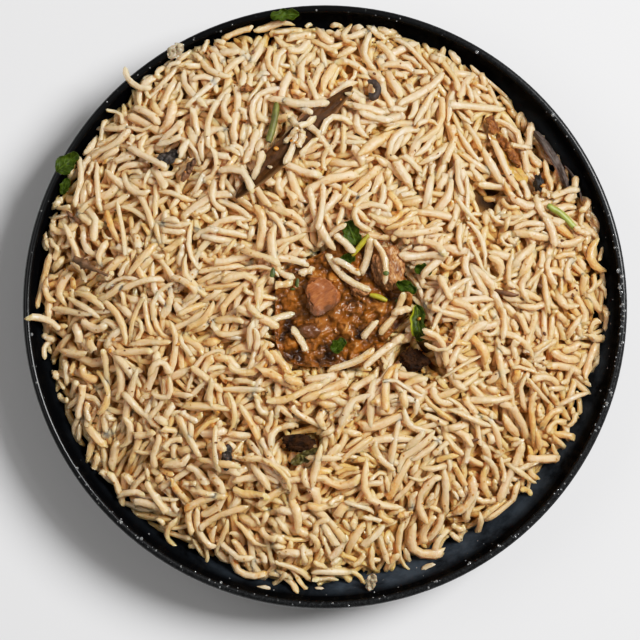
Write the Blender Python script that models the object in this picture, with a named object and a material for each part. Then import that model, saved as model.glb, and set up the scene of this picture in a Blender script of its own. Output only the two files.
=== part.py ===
"""A walled black plate heaped with chicken pulao, in metres, +Z up.

The origin is the centre of the plate's foot, on the table, and +Y is the far side. The plate is
turned from one profile. The rice is a bumpy core out to the heap's uneven edge, with long grains and
a few seeds joined on. A pad of masala lies in a pocket of the core and holds the chicken. Leaves,
spices and fried onion are separate pieces, each lowered until it rests on what lies under it.
"""

import math
import random

import bmesh
import bpy
from mathutils import Matrix, Vector, noise
from mathutils.bvhtree import BVHTree

MM = 0.001
GAP = 0.35 * MM  # clear space between two pieces that touch
SEED = 41

# Plate: heights and radii of the turned profile
PLATE_RADIUS = 105 * MM
PLATE_HEIGHT = 30 * MM
LIP_RADIUS = 1.4 * MM
PLATE_SIDES = 60
WELL = ((0, 5.5), (70, 5.5), (82, 8.0), (91, 13.5), (99, 21.5), (102.2, 28.2))
UNDERSIDE = ((104.4, 24), (99, 14.5), (84, 5.2))
FOOT = ((74.5, 0), (69, 0), (67.5, 2.6), (0, 2.6))

# Heap of rice
HEAP_CENTRE = Vector((-1.3 * MM, 2.0 * MM))
HEAP_RADIUS = 97 * MM
HEAP_PEAK = 45.5 * MM
HEAP_RINGS = 17
EDGE_THICKNESS = 1.8 * MM
BUMP = 1.7 * MM
PLATE_GAP = 0.5 * MM
HOLLOWS = (  # x, y, radius and depth of each dip in the heap, in mm
    (5, -1, 27, 3.5),
    (31.2, -19.1, 8, 5.5),
    (-10.2, -49.6, 8, 5.0),
    (-54, 50, 7, 3.0),
    (57, 37, 6, 3.0),
)

# Pad of masala in the middle of the heap
MASALA_CENTRE = Vector((5 * MM, -1 * MM))
MASALA_RADIUS = 22.5 * MM
MASALA_DEPTH = 4.5 * MM

# Rice grains joined to the core
GRAINS = 80
EDGE_GRAINS = 46
GRAIN_RADIUS = 1.3 * MM
GRAIN_PROUD = 0.72  # how far a grain's middle line stands over the core, as a share of its radius
GRAIN_LONGEST = 23 * MM
GRAIN_SHORTEST = 12 * MM
SEEDS = (  # x, y, heading in degrees, length in mm
    (62.7, 3.6, -13, 11.5),
    (74.9, 6.2, -31, 5.5),
    (59.5, -40.4, -27, 5.5),
    (51.0, -46.9, 14, 5.0),
    (-86.8, 30.1, -47, 7.0),
)

placed = {}  # each finished solid's surface, which later pieces rest on and keep clear of


# ---------------------------------------------------------------- forms of the plate and the heap
def along(profile, radius):
    """Height of a profile of (radius, height) pairs in mm, read at a radius in metres."""
    r = radius / MM
    for (r0, z0), (r1, z1) in zip(profile, profile[1:]):
        if r <= r1:
            return (z0 + (z1 - z0) * (r - r0) / (r1 - r0)) * MM
    return profile[-1][1] * MM


def plate_floor(x, y):
    """Height of the plate's inner surface."""
    return along(WELL, math.hypot(x, y))


def heap_outline(angle):
    """Distance from the heap's centre to its uneven edge."""
    wave = 1.1 * MM * math.sin(3 * angle + 0.6) + 0.8 * MM * math.sin(7 * angle)
    bark_bay = 4.5 * MM * math.exp(-(((angle_between(angle, math.radians(33))) / 0.24) ** 2))
    lower_dip = 1.8 * MM * math.exp(-(((angle_between(angle, math.radians(-75))) / 0.3) ** 2))
    return HEAP_RADIUS + wave - bark_bay - lower_dip


def angle_between(a, b):
    """Signed difference of two angles, between minus pi and pi."""
    return (a - b + math.pi) % (2 * math.pi) - math.pi


def heap(x, y):
    """Height of the heap without its bumps."""
    offset = Vector((x, y)) - HEAP_CENTRE
    angle = math.atan2(offset.y, offset.x)
    edge = heap_outline(angle)
    rim = HEAP_CENTRE + edge * Vector((math.cos(angle), math.sin(angle)))
    low = plate_floor(rim.x, rim.y) + PLATE_GAP + EDGE_THICKNESS
    share = min(offset.length / edge, 1.0)
    height = low + (HEAP_PEAK - low) * (1 - share**3) ** 0.8
    for hx, hy, radius, depth in HOLLOWS:
        away = math.hypot(x / MM - hx, y / MM - hy) / radius
        height -= depth * MM * math.exp(-(away**4))
    return height


def masala_share(x, y):
    """Distance from the masala's centre as a share of its radius, at most 1."""
    return min((Vector((x, y)) - MASALA_CENTRE).length / MASALA_RADIUS, 1.0)


# ---------------------------------------------------------------- making meshes
def clear_scene():
    for obj in list(bpy.data.objects):
        bpy.data.objects.remove(obj, do_unlink=True)


def material(name, colour, roughness):
    """A plain Principled finish with a linear base colour."""
    mat = bpy.data.materials.new(name)
    mat.use_nodes = True
    shader = mat.node_tree.nodes["Principled BSDF"]
    shader.inputs["Base Color"].default_value = (*colour, 1.0)
    shader.inputs["Roughness"].default_value = roughness
    shader.inputs["Metallic"].default_value = 0.0
    return mat


def solid(name, bm, finish):
    """Close a bmesh into a named object with its faces pointing out, made of triangles."""
    bmesh.ops.remove_doubles(bm, verts=bm.verts, dist=1e-7)
    bmesh.ops.triangulate(bm, faces=bm.faces)
    bmesh.ops.recalc_face_normals(bm, faces=bm.faces)
    mesh = bpy.data.meshes.new(name)
    bm.to_mesh(mesh)
    bm.free()
    mesh.shade_smooth()
    mesh.set_sharp_from_angle(angle=math.radians(50))
    mesh.materials.append(finish)
    obj = bpy.data.objects.new(name, mesh)
    bpy.context.collection.objects.link(obj)
    return obj


def stitch(bm, inner, outer):
    """Fill the band between two rings of points, which may differ in number."""
    i = j = 0
    n, m = len(inner), len(outer)
    while j < m or (i < n and n > 1):
        if j < m and (n == 1 or i >= n or (j + 0.5) * n <= (i + 0.5) * m):
            bm.faces.new((inner[i % n], outer[j % m], outer[(j + 1) % m]))
            j += 1
        else:
            bm.faces.new((inner[i % n], outer[j % m], inner[(i + 1) % n]))
            i += 1


def ring(bm, centre, outline, share, count, height):
    """Points round a centre at a share of the outline's radius, at a height read from a function."""
    points = []
    for k in range(count):
        angle = 2 * math.pi * k / count
        reach = outline(angle) * share
        x = centre[0] + reach * math.cos(angle)
        y = centre[1] + reach * math.sin(angle)
        points.append(bm.verts.new((x, y, height(x, y))))
    return points


def mound(name, centre, outline, top, bottom, rings, under, finish):
    """A closed heap: even triangles on top, a low side wall, and a plainer underside.

    under lists the underside's rings from the edge inwards, as (share of the radius, points)."""
    bm = bmesh.new()
    inner = [bm.verts.new((*centre, top(*centre)))]
    for k in range(1, rings + 1):
        outer = ring(bm, centre, outline, k / rings, 6 * k, top)
        stitch(bm, inner, outer)
        inner = outer
    for share, count in under:
        lower = ring(bm, centre, outline, share, count, bottom)
        stitch(bm, inner, lower)
        inner = lower
    stitch(bm, [bm.verts.new((*centre, bottom(*centre)))], inner)
    return solid(name, bm, finish)


def lathe(name, profile, sides, finish):
    """Turn a profile of (radius, height) points, closed on the axis, round +Z."""
    bm = bmesh.new()
    chain = [bm.verts.new((r, 0, z)) for r, z in profile]
    edges = [bm.edges.new(pair) for pair in zip(chain, chain[1:])]
    bmesh.ops.spin(
        bm, geom=chain + edges, cent=(0, 0, 0), axis=(0, 0, 1), angle=2 * math.pi, steps=sides
    )
    bmesh.ops.remove_doubles(bm, verts=bm.verts, dist=1e-6)
    return solid(name, bm, finish)


def rod_mesh(path, radii, sides):
    """A closed rod of a few flat sides along a path of points, with a radius at each point."""
    bm = bmesh.new()
    last = None
    for k, (point, radius) in enumerate(zip(path, radii)):
        ahead = path[min(k + 1, len(path) - 1)] - path[max(k - 1, 0)]
        turn = ahead.to_track_quat("X", "Z").to_matrix()
        loop = []
        for s in range(sides):
            angle = 2 * math.pi * s / sides
            spoke = Vector((0, math.cos(angle), math.sin(angle))) * radius
            loop.append(bm.verts.new(point + turn @ spoke))
        if last:
            stitch(bm, last, loop)
        else:
            bm.faces.new(reversed(loop))
        last = loop
    bm.faces.new(last)
    return bm


def arc_path(centre, heading, length, bend, steps, height):
    """Points along a bent line over the heap: bend is its sideways bow as a share of its length."""
    ahead = Vector((math.cos(heading), math.sin(heading)))
    aside = Vector((-ahead.y, ahead.x))
    points = []
    for k in range(steps + 1):
        t = 2 * k / steps - 1
        flat = Vector(centre) + ahead * (t * length / 2) + aside * (bend * length * (1 - t * t))
        points.append(Vector((flat.x, flat.y, height(flat.x, flat.y))))
    return points


def lump_mesh(size, rough, seed):
    """A ball of the given half sizes with an uneven surface."""
    bm = bmesh.new()
    bmesh.ops.create_icosphere(bm, subdivisions=2, radius=1.0)
    for vert in bm.verts:
        swell = 1 + rough * noise.noise(vert.co * 1.7 + Vector((seed, 0, 0)))
        vert.co = Vector([vert.co[i] * size[i] * swell for i in range(3)])
    return bm


def sheet_solid(name, length, width, steps, thickness, finish):
    """A thin solid from a flat strip: both faces are split into the same triangles.

    width(t) gives the half width at t from 0 to 1, and rise(u, v) is added to it afterwards."""
    bm = bmesh.new()
    across = steps[1]
    rows = []
    for i in range(steps[0] + 1):
        t = i / steps[0]
        row = []
        for j in range(across + 1):
            v = 2 * j / across - 1
            row.append(bm.verts.new(((t - 0.5) * length, v * width(t), 0)))
        rows.append(row)
    for low, high in zip(rows, rows[1:]):
        for j in range(across):
            bm.faces.new((low[j], high[j], high[j + 1]))
            bm.faces.new((low[j], high[j + 1], low[j + 1]))
    obj = solid(name, bm, finish)
    shell = obj.modifiers.new("thickness", "SOLIDIFY")
    shell.thickness = thickness
    shell.offset = 0.0
    shell.use_even_offset = False
    return obj


# ---------------------------------------------------------------- placing pieces
def tree(obj):
    """Search tree over an object's evaluated surface in world space."""
    evaluated = obj.evaluated_get(bpy.context.evaluated_depsgraph_get())
    bm = bmesh.new()
    bm.from_mesh(evaluated.to_mesh())
    bm.transform(obj.matrix_world)
    found = BVHTree.FromBMesh(bm)
    corners = [v.co.copy() for v in bm.verts]
    corners += [e.verts[0].co.lerp(e.verts[1].co, 0.5) for e in bm.edges]
    corners += [f.calc_center_median() for f in bm.faces]
    bm.free()
    evaluated.to_mesh_clear()
    return found, corners


def keep(obj):
    """Record a finished piece, so that later ones rest on it and stay clear of it."""
    bpy.context.view_layer.update()
    placed[obj.name] = tree(obj)
    return obj


def apply_modifiers(obj):
    bpy.context.view_layer.update()
    evaluated = obj.evaluated_get(bpy.context.evaluated_depsgraph_get())
    mesh = bpy.data.meshes.new_from_object(evaluated)
    obj.modifiers.clear()
    obj.data = mesh


def settle(obj):
    """Lower a piece from above until it comes within the gap of what lies under it."""
    bpy.context.view_layer.update()
    surface, corners = tree(obj)
    high = 100 * MM
    down = Vector((0, 0, -1))
    fall = math.inf
    for other, other_corners in placed.values():
        for point in corners:
            hit = other.ray_cast(point + Vector((0, 0, high)), down)
            if hit[0]:
                fall = min(fall, point.z + high - hit[0].z)
        for point in other_corners:
            hit = surface.ray_cast(Vector((point.x, point.y, -high)), -down)
            if hit[0]:
                fall = min(fall, hit[0].z + high - point.z)
    obj.location.z += high - fall + GAP
    return keep(obj)


def cut_pocket(body, piece):
    """Cut into a body the room that a piece and its gap take up."""
    bpy.context.view_layer.update()
    cutter = piece.copy()
    cutter.data = piece.data.copy()
    cutter.name = piece.name + "_room"
    bpy.context.collection.objects.link(cutter)
    grown = bmesh.new()
    grown.from_mesh(cutter.data)
    grown.normal_update()
    for vert, normal in [(v, v.normal.copy()) for v in grown.verts]:
        vert.co += normal * GAP
    grown.to_mesh(cutter.data)
    grown.free()
    cut = body.modifiers.new("pocket", "BOOLEAN")
    cut.operation = "DIFFERENCE"
    cut.object = cutter
    apply_modifiers(body)
    bpy.data.objects.remove(cutter, do_unlink=True)


def clear_of_all(points, distance):
    """Whether points keep a distance from every piece placed so far."""
    for surface, _ in placed.values():
        for point in points:
            if surface.find_nearest(point, distance)[0]:
                return False
    return True


# ---------------------------------------------------------------- pieces
def make_plate():
    lip = (PLATE_RADIUS - LIP_RADIUS, PLATE_HEIGHT - LIP_RADIUS)
    profile = [(r * MM, z * MM) for r, z in WELL]
    for degrees in (150, 90, 0):
        turn = math.radians(degrees)
        profile.append(
            (lip[0] + LIP_RADIUS * math.cos(turn), lip[1] + LIP_RADIUS * math.sin(turn))
        )
    profile += [(r * MM, z * MM) for r, z in UNDERSIDE + FOOT]
    finish = material("black_glaze", (0.006, 0.007, 0.008), 0.18)
    return keep(lathe("plate", profile, PLATE_SIDES, finish))


def make_rice_core(rng):
    """The bare heap, a little inside its true edge, with bumps about as high as a grain."""

    def top(x, y):
        broad = 1.2 * MM * noise.noise(Vector((x, y, 0)) / (16 * MM))
        bump = broad + rng.uniform(-BUMP, BUMP)
        return heap(x, y) + (bump if masala_share(x, y) == 1 else -2 * BUMP)

    def bottom(x, y):
        return plate_floor(x, y) + PLATE_GAP

    finish = material("rice", (0.76, 0.53, 0.30), 0.5)
    under = ((1.0, 6 * HEAP_RINGS), (0.93, 60), (0.72, 30))
    return mound(
        "rice", tuple(HEAP_CENTRE), heap_outline, top, bottom, HEAP_RINGS, under, finish
    )


def make_masala():
    """A lumpy pad of thick sauce with an uneven edge, sunk into the heap."""

    def outline(angle):
        wave = 0.09 * math.sin(2 * angle + 0.4) + 0.06 * math.sin(5 * angle + 1)
        return MASALA_RADIUS * (1 + wave)

    def top(x, y):
        lumps = 1.3 * MM * noise.noise(Vector((x, y, 0)) / (5 * MM))
        return heap(x, y) + 1.4 * MM * (1 - masala_share(x, y) ** 2) + lumps

    def bottom(x, y):
        return heap(x, y) - MASALA_DEPTH * (1 - 0.6 * masala_share(x, y) ** 2)

    finish = material("masala", (0.21, 0.07, 0.012), 0.25)
    under = ((1.0, 36), (0.6, 18))
    return mound("masala", tuple(MASALA_CENTRE), outline, top, bottom, 6, under, finish)


def make_lump(name, place, size, turn, finish, sunk, seed):
    """A piece of meat of given half sizes in mm, sunk into the heap by a share of its height."""
    obj = solid(name, lump_mesh([s * MM for s in size], 0.35, seed), finish)
    x, y = place[0] * MM, place[1] * MM
    obj.rotation_euler = (0, 0, math.radians(turn))
    obj.location = (x, y, heap(x, y) + size[2] * MM * (1 - 2 * sunk))
    bpy.context.view_layer.update()
    obj.data.transform(obj.matrix_world)
    obj.matrix_world = Matrix.Identity(4)
    return obj


def make_leaf(name, place, heading, length, width, finish, **shape):
    """A thin wavy leaf or strip that follows the heap and is then lowered on to it.

    Lengths are in mm. lobes gives the number of scallops on each side, cup the sideways
    curl, tilt the slope along its length where it doesn't follow the heap."""
    lobes = shape.get("lobes", 0)
    blunt = shape.get("blunt", 0.7)
    steps = shape.get("steps", (5, 2))
    cup = shape.get("cup", 0.0)
    wave = shape.get("wave", 0.4) * MM
    bend = shape.get("bend", 0.0)
    tilt = shape.get("tilt")

    def half_width(t):
        body = max(math.sin(math.pi * min(max(t, 0.0), 1.0)), 0.0) ** blunt
        scallop = 1 + 0.22 * math.sin(2 * math.pi * lobes * t) if lobes else 1
        return width / 2 * MM * max(body * scallop, 0.16)

    thickness = shape.get("thickness", 0.45) * MM
    obj = sheet_solid(name, length * MM, half_width, steps, thickness, finish)
    ahead = Vector((math.cos(math.radians(heading)), math.sin(math.radians(heading))))
    aside = Vector((-ahead.y, ahead.x))
    centre = Vector((place[0] * MM, place[1] * MM))
    for vert in obj.data.vertices:
        u = vert.co.x / (length * MM / 2)
        v = vert.co.y / (width / 2 * MM)
        bow = bend * length * MM * (1 - u * u)
        flat = centre + ahead * vert.co.x + aside * (vert.co.y + bow)
        ground = heap(flat.x, flat.y) if tilt is None else vert.co.x * tilt
        ripple = wave * math.sin(3.2 * u + 2.0 * v + length)
        vert.co = (flat.x, flat.y, ground + ripple + cup * MM * v * v)
    apply_modifiers(obj)
    return settle(obj)


def make_rod(name, place, heading, length, radii, finish, sides=5, bend=0.1):
    """A stalk or stick with a radius in mm at each of its points, lowered on to the heap."""
    path = arc_path(
        (place[0] * MM, place[1] * MM), math.radians(heading), length * MM, bend, len(radii) - 1, heap
    )
    obj = solid(name, rod_mesh(path, [r * MM for r in radii], sides), finish)
    return settle(obj)


def make_curl():
    """A dry dark spice curled into a hook."""
    finish = material("dark_curl", (0.11, 0.06, 0.04), 0.8)
    centre = Vector((16.1 * MM, 73.7 * MM))
    path = []
    radii = []
    for k in range(8):
        angle = math.radians(-130 + 36 * k)
        reach = (1.6 + 0.16 * k) * MM
        x = centre.x + reach * math.cos(angle)
        y = centre.y + 1.25 * reach * math.sin(angle)
        path.append(Vector((x, y, heap(centre.x, centre.y) + 0.15 * k * MM)))
        radii.append((0.75 + 0.35 * math.sin(k * 0.9)) * MM)
    return settle(solid("spice_curl", rod_mesh(path, radii, 5), finish))


def make_clove():
    """A clove: a slender stalk, a flared crown and a round bud, lying on its side."""
    finish = material("clove", (0.08, 0.035, 0.018), 0.7)
    profile = ((0, 0), (0.45, 0), (0.6, 3.5), (1.0, 8.5), (1.9, 10.4), (1.3, 11), (1.2, 12.2), (0, 13))
    obj = lathe("clove", [(r * MM, z * MM) for r, z in profile], 7, finish)
    place = Vector((-74.6 * MM, 9.6 * MM, 0))
    tip = Vector((-86.5 * MM, 15.9 * MM, 0))
    place.z = heap(place.x, place.y)
    tip.z = heap(tip.x, tip.y)
    turn = (tip - place).to_track_quat("Z", "Y").to_matrix().to_4x4()
    obj.data.transform(Matrix.Translation(place) @ turn)
    return settle(obj)


def make_chicken(masala, core):
    """Chicken in the masala, sunk into pockets of it, and two pieces deep in the heap's hollows."""
    pale = material("chicken", (0.40, 0.12, 0.045), 0.45)
    deep = material("chicken_deep", (0.07, 0.025, 0.008), 0.5)
    sunk = (
        make_lump("chicken_main", (-0.7, 2.3), (6.6, 7.4, 4.2), 10, pale, 0.22, 3),
        make_lump("chicken_pulled", (21.6, 12.4), (4.6, 7.6, 3.4), 20, pale, 0.28, 8),
        make_lump("chicken_lobe", (-5.6, -9.2), (4.2, 3.0, 2.4), 15, pale, 0.3, 5),
        make_lump("chicken_shred", (12.4, 4.6), (4.6, 2.1, 2.0), 25, pale, 0.25, 6),
    )
    for piece in sunk:
        cut_pocket(masala, piece)
        cut_pocket(core, piece)
    for name, place, size, turn, seed in (
        ("chicken_side", (31.2, -19.1), (5.8, 4.0, 2.6), 15, 9),
        ("chicken_low", (-9.0, -47.6), (6.0, 3.2, 2.2), 5, 12),
    ):
        cut_pocket(core, make_lump(name, place, size, turn, deep, 0.3, seed))
    return [obj for obj in bpy.data.objects if obj.name.startswith("chicken_")]


def make_leaves():
    """Bay leaf, chopped coriander and green stalks."""
    bay = material("bay_leaf", (0.075, 0.03, 0.01), 0.45)
    herb = material("coriander", (0.05, 0.075, 0.004), 0.55)
    stalk = material("green_stalk", (0.30, 0.33, 0.07), 0.5)
    make_leaf(
        "bay_leaf", (-10.5, 55.5), 44.5, 56, 11, bay, steps=(12, 2), wave=0.9, cup=1.2, blunt=0.55
    )
    coriander = (  # name, place, heading, length, width, lobes
        ("herb_top", (9.1, 24.0), 100, 8.0, 6.0, 2),
        ("herb_inner", (7.8, 15.2), 20, 5.0, 3.6, 1),
        ("herb_right_a", (33.6, 11.4), -8, 6.0, 3.6, 0),
        ("herb_right_b", (27.7, 5.4), -25, 7.4, 3.4, 0),
        ("herb_fold", (31.9, -6.8), -84, 12.5, 5.4, 3),
        ("herb_low", (4.6, -14.4), 50, 5.6, 4.6, 2),
    )
    for name, place, heading, length, width, lobes in coriander:
        make_leaf(name, place, heading, length, width, herb, lobes=lobes, cup=0.8, blunt=0.5)
    make_leaf("herb_lip_left", (-89.6, 49.6), 38, 9.6, 6.0, herb, lobes=1, tilt=0.1)
    make_leaf("herb_wall_left", (-90.6, 41.6), 70, 6.0, 3.2, herb, tilt=0.0)
    make_leaf("herb_lip_top", (-14.0, 101.2), 4, 10, 4.0, herb, lobes=3, tilt=0.0)
    for name, place, heading, length, width in (
        ("stalk_left", (-18.0, 62.4), 79, 14.6, 2.2),
        ("stalk_right", (81.6, 31.2), -37, 11.6, 2.6),
    ):
        make_leaf(
            name, place, heading, length, width, stalk, blunt=0.2, thickness=0.8, bend=0.04, wave=0.1
        )
    radii = (0.5, 0.95, 1.0, 0.6)
    make_rod("stem_top", (12.4, 19.6), 52, 8.6, radii, stalk, bend=0.08)
    make_rod("stem_mid", (18.2, 1.9), -19, 6.4, radii, stalk, bend=0.05)


def make_spices():
    """Bark, whole spices and fried onion on the heap."""
    bark = material("bark", (0.10, 0.075, 0.06), 0.7)
    dark = material("dark_spice", (0.03, 0.018, 0.012), 0.5)
    burnt = material("burnt_spice", (0.006, 0.004, 0.003), 0.7)
    fried = material("fried_onion", (0.22, 0.075, 0.022), 0.6)
    pale = material("soft_onion", (0.55, 0.45, 0.30), 0.35)
    make_leaf(
        "bark_curl", (81.4, 48.2), -56, 27, 4.4, bark,
        steps=(9, 2), cup=-2.4, thickness=0.9, bend=0.07, wave=0.5, blunt=0.25, tilt=0.0,
    )
    make_curl()
    make_clove()
    onions = (("onion_top", (58.5, 62.1), 75, 7.4, 3.6), ("onion_strip", (64.0, 53.9), -55, 12.8, 3.4))
    for name, place, heading, length, width in onions:
        make_leaf(name, place, heading, length, width, fried, blunt=0.3, thickness=1.1, wave=0.7)
    make_leaf("onion_lip", (-52.0, 88.6), 40, 6.6, 4.6, pale, blunt=0.4, thickness=0.7, tilt=0.0)
    make_leaf("onion_wall", (16.0, -96.0), 75, 6.0, 3.6, pale, blunt=0.4, thickness=0.7, tilt=0.3)
    husks = (  # name, place, heading, length, width, finish
        ("husk_left", (-54.0, 50.6), 20, 9.4, 4.6, dark),
        ("husk_stem", (-47.0, 46.0), 62, 8.6, 2.6, dark),
        ("husk_low", (-33.6, -52.7), 84, 8.8, 3.2, dark),
        ("cardamom", (-6.6, -52.4), 25, 11.0, 3.4, material("cardamom", (0.10, 0.085, 0.01), 0.6)),
    )
    for name, place, heading, length, width, finish in husks:
        make_leaf(name, place, heading, length, width, finish, blunt=0.35, thickness=1.0, cup=-0.6)
    make_rod("burnt_bit", (74.6, 42.4), 80, 5.4, (1.3, 2.1, 1.9, 1.0), burnt, bend=0.05)
    make_rod("brown_bit", (-27.0, 74.4), 20, 4.6, (1.0, 1.7, 1.0), fried, bend=0.0)


# ---------------------------------------------------------------- grains joined to the core
def add_grains(core, rng):
    """Join true-size grains to the core, longest first and spread evenly, clear of every piece."""
    surface, _ = tree(core)
    group = bpy.data.collections.new("grains")
    golden = math.pi * (3 - math.sqrt(5))

    def rest_height(x, y):
        clear = plate_floor(x, y) + GRAIN_RADIUS + PLATE_GAP
        hit = surface.ray_cast(Vector((x, y, 100 * MM)), Vector((0, 0, -1)))[0]
        return max(clear, hit.z + GRAIN_PROUD * GRAIN_RADIUS) if hit else clear

    def add(place, heading, length, bend, radius):
        path = arc_path(place, heading, length, bend, 3, rest_height)
        steps = [path[k].lerp(path[k + 1], s / 4) for k in range(3) for s in range(4)]
        reach = max(Vector((p.x, p.y)).length for p in path)
        if reach > PLATE_RADIUS - 2.6 * MM or not clear_of_all(steps, radius + GAP):
            return
        radii = [radius * share for share in (0.55, 1.0, 1.0, 0.55)]
        grain = bpy.data.meshes.new("grain")
        bm = rod_mesh(path, radii, 4)
        bmesh.ops.triangulate(bm, faces=bm.faces)
        bmesh.ops.recalc_face_normals(bm, faces=bm.faces)
        bm.to_mesh(grain)
        bm.free()
        group.objects.link(bpy.data.objects.new("grain", grain))

    for x, y, heading, length in SEEDS:
        add((x * MM, y * MM), math.radians(heading), length * MM, 0.05, 1.1 * MM)
    for k in range(GRAINS):
        angle = k * golden
        reach = 0.92 * math.sqrt((k + 0.5) / GRAINS) * heap_outline(angle)
        place = HEAP_CENTRE + reach * Vector((math.cos(angle), math.sin(angle)))
        length = GRAIN_LONGEST + (GRAIN_SHORTEST - GRAIN_LONGEST) * ((k * golden) % 1.0)
        add(place, rng.uniform(0, math.pi), length, rng.uniform(-0.18, 0.18), GRAIN_RADIUS)
    for k in range(EDGE_GRAINS):
        angle = 2 * math.pi * (k + rng.uniform(-0.3, 0.3)) / EDGE_GRAINS
        reach = heap_outline(angle) - rng.uniform(1.0, 5.0) * MM
        place = HEAP_CENTRE + reach * Vector((math.cos(angle), math.sin(angle)))
        length = rng.uniform(GRAIN_SHORTEST, 0.75 * GRAIN_LONGEST)
        add(place, angle + rng.uniform(-1.2, 1.2), length, rng.uniform(-0.15, 0.15), GRAIN_RADIUS)

    join = core.modifiers.new("grains", "BOOLEAN")
    join.operation = "UNION"
    join.operand_type = "COLLECTION"
    join.collection = group
    join.solver = "MANIFOLD"
    bpy.context.scene.collection.children.link(group)
    apply_modifiers(core)
    for obj in list(group.objects):
        bpy.data.objects.remove(obj, do_unlink=True)
    bpy.data.collections.remove(group)
    keep_largest(core)


def keep_largest(obj):
    """Drop loose scraps and the walls of sealed hollows, leaving the one outer surface."""
    bm = bmesh.new()
    bm.from_mesh(obj.data)
    unseen = set(bm.faces)
    shells = []
    while unseen:
        shell = [unseen.pop()]
        for face in shell:
            for edge in face.edges:
                for near in edge.link_faces:
                    if near in unseen:
                        unseen.remove(near)
                        shell.append(near)
        shells.append(shell)
    shells.sort(key=len)
    for shell in shells[:-1]:
        bmesh.ops.delete(bm, geom=shell, context="FACES")
    bm.to_mesh(obj.data)
    bm.free()


def main():
    clear_scene()
    rng = random.Random(SEED)
    make_plate()
    core = make_rice_core(rng)
    masala = make_masala()
    cut_pocket(core, masala)
    chicken = make_chicken(masala, core)
    for obj in (core, masala, *chicken):
        keep(obj)
    make_leaves()
    make_spices()
    del placed[core.name]
    add_grains(core, rng)


main()
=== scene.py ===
"""A black walled plate heaped with chicken pulao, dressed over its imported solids.

The rice is a pile of separate long grains, laid one by one on a height field that starts as a low
core in the plate. Masala, chicken, leaves and spices keep their places free in the pile, and a few
grains come over them at the end. Lengths are in metres, +Z is up and +Y is the far side.
"""

import collections
import math

import bmesh
import bpy
import numpy as np
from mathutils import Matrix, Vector, noise


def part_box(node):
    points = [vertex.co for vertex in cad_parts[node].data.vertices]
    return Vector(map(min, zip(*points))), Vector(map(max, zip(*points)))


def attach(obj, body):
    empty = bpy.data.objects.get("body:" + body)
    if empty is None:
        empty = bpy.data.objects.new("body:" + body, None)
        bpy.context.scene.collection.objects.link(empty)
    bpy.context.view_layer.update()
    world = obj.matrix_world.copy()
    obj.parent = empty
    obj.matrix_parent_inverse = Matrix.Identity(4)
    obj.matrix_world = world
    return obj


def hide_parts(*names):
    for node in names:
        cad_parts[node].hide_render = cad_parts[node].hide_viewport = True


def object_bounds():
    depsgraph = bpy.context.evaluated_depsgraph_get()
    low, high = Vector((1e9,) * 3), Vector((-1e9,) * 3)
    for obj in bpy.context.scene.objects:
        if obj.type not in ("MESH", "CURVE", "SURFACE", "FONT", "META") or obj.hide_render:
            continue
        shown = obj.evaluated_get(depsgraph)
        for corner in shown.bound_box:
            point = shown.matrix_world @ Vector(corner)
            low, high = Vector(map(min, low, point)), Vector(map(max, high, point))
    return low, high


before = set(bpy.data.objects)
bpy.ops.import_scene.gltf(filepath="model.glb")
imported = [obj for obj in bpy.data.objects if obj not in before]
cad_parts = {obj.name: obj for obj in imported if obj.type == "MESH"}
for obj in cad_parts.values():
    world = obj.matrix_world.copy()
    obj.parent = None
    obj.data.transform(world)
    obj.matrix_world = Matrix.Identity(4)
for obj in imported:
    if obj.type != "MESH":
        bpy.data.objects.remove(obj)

MM = 0.001
CAD_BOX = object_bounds()

# Places and sizes that the solids give
PLATE_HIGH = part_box("plate")[1]
PLATE_RADIUS, RIM_HEIGHT = PLATE_HIGH.x, PLATE_HIGH.z
LIP_RADIUS = 1.4 * MM
WELL = ((0, 5.5), (70, 5.5), (82, 8.0), (91, 13.5), (99, 21.5), (102.2, 28.2))
UNDERSIDE = ((104.4, 24), (99, 14.5), (84, 5.2), (76, 3.2))
FOOT = ((74.5, 0), (69, 0), (67.5, 2.6), (0, 2.6))
PLATE_STEPS = 160

# The heap, as the solids have it
HEAP_CENTRE = np.array((-1.3, 2.0)) * MM
HEAP_RADIUS = 97 * MM
HEAP_PEAK = 45.5 * MM
EDGE_LIFT = 2.3 * MM
HOLLOWS = (  # x, y, radius and depth in mm
    (5, -1, 27, 3.5), (31.2, -19.1, 8, 5.5), (-10.2, -49.6, 8, 5.0), (-54, 50, 7, 3.0), (57, 37, 6, 3.0),
)
MASALA_CENTRE = np.array((5, -1)) * MM
MASALA_RADIUS = 22.5 * MM
MASALA_DEPTH = 4.5 * MM
DISC_CUTS = 150

# The pile of grains
CELL = 0.5 * MM
FIELD_HALF = 112 * MM
CORE_DEPTH = 6.0 * MM
CORE_INSET = 4 * MM
TOP_LIMIT = CAD_BOX[1].z + 0.8 * MM
GRAIN_RADIUS = 1.38 * MM
GRAIN_GIVE = 0.75
END_BULGE = 0.03
SOFTNESS = 0.85
STEEPEST = 0.75
EDGE_FILL = 2.6 * MM
PATIENCE = 60
GRAIN_RINGS = 9
GRAIN_SIDES = 6
SCATTER_TRIES = 5
SEED = 20
PILES = (  # tries for each grain, limit over the envelope, most grains, and how they differ
    (36, -1.0 * MM, 5000, {}),
    (3, 1.9 * MM, 650, {"stretch": 1.05, "thick": 1.04}),
    (70, 1.0 * MM, 300, {"broken": True}),
)
KEPT_OPEN = (  # x, y, radius and depth of the dark gaps, in mm
    (29, -17, 4.5, 2), (34, -21, 4.5, 2), (-7, -48, 4, 1.5), (-13, -52, 4, 1.5),
    (-55, 50.5, 4, 0.5), (-49, 48, 4, 0.5), (56, 37, 4, 4), (58, 25, 2.8, 4), (41, -8, 2, 3),
)
SMALL_GAPS = 18
SCATTERED = ((8, -1, 36, 60, 30.5), (-33, -52, 5, 3, 3), (-10, -50, 11, 8, 8))  # x, y, outer, count, inner
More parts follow.
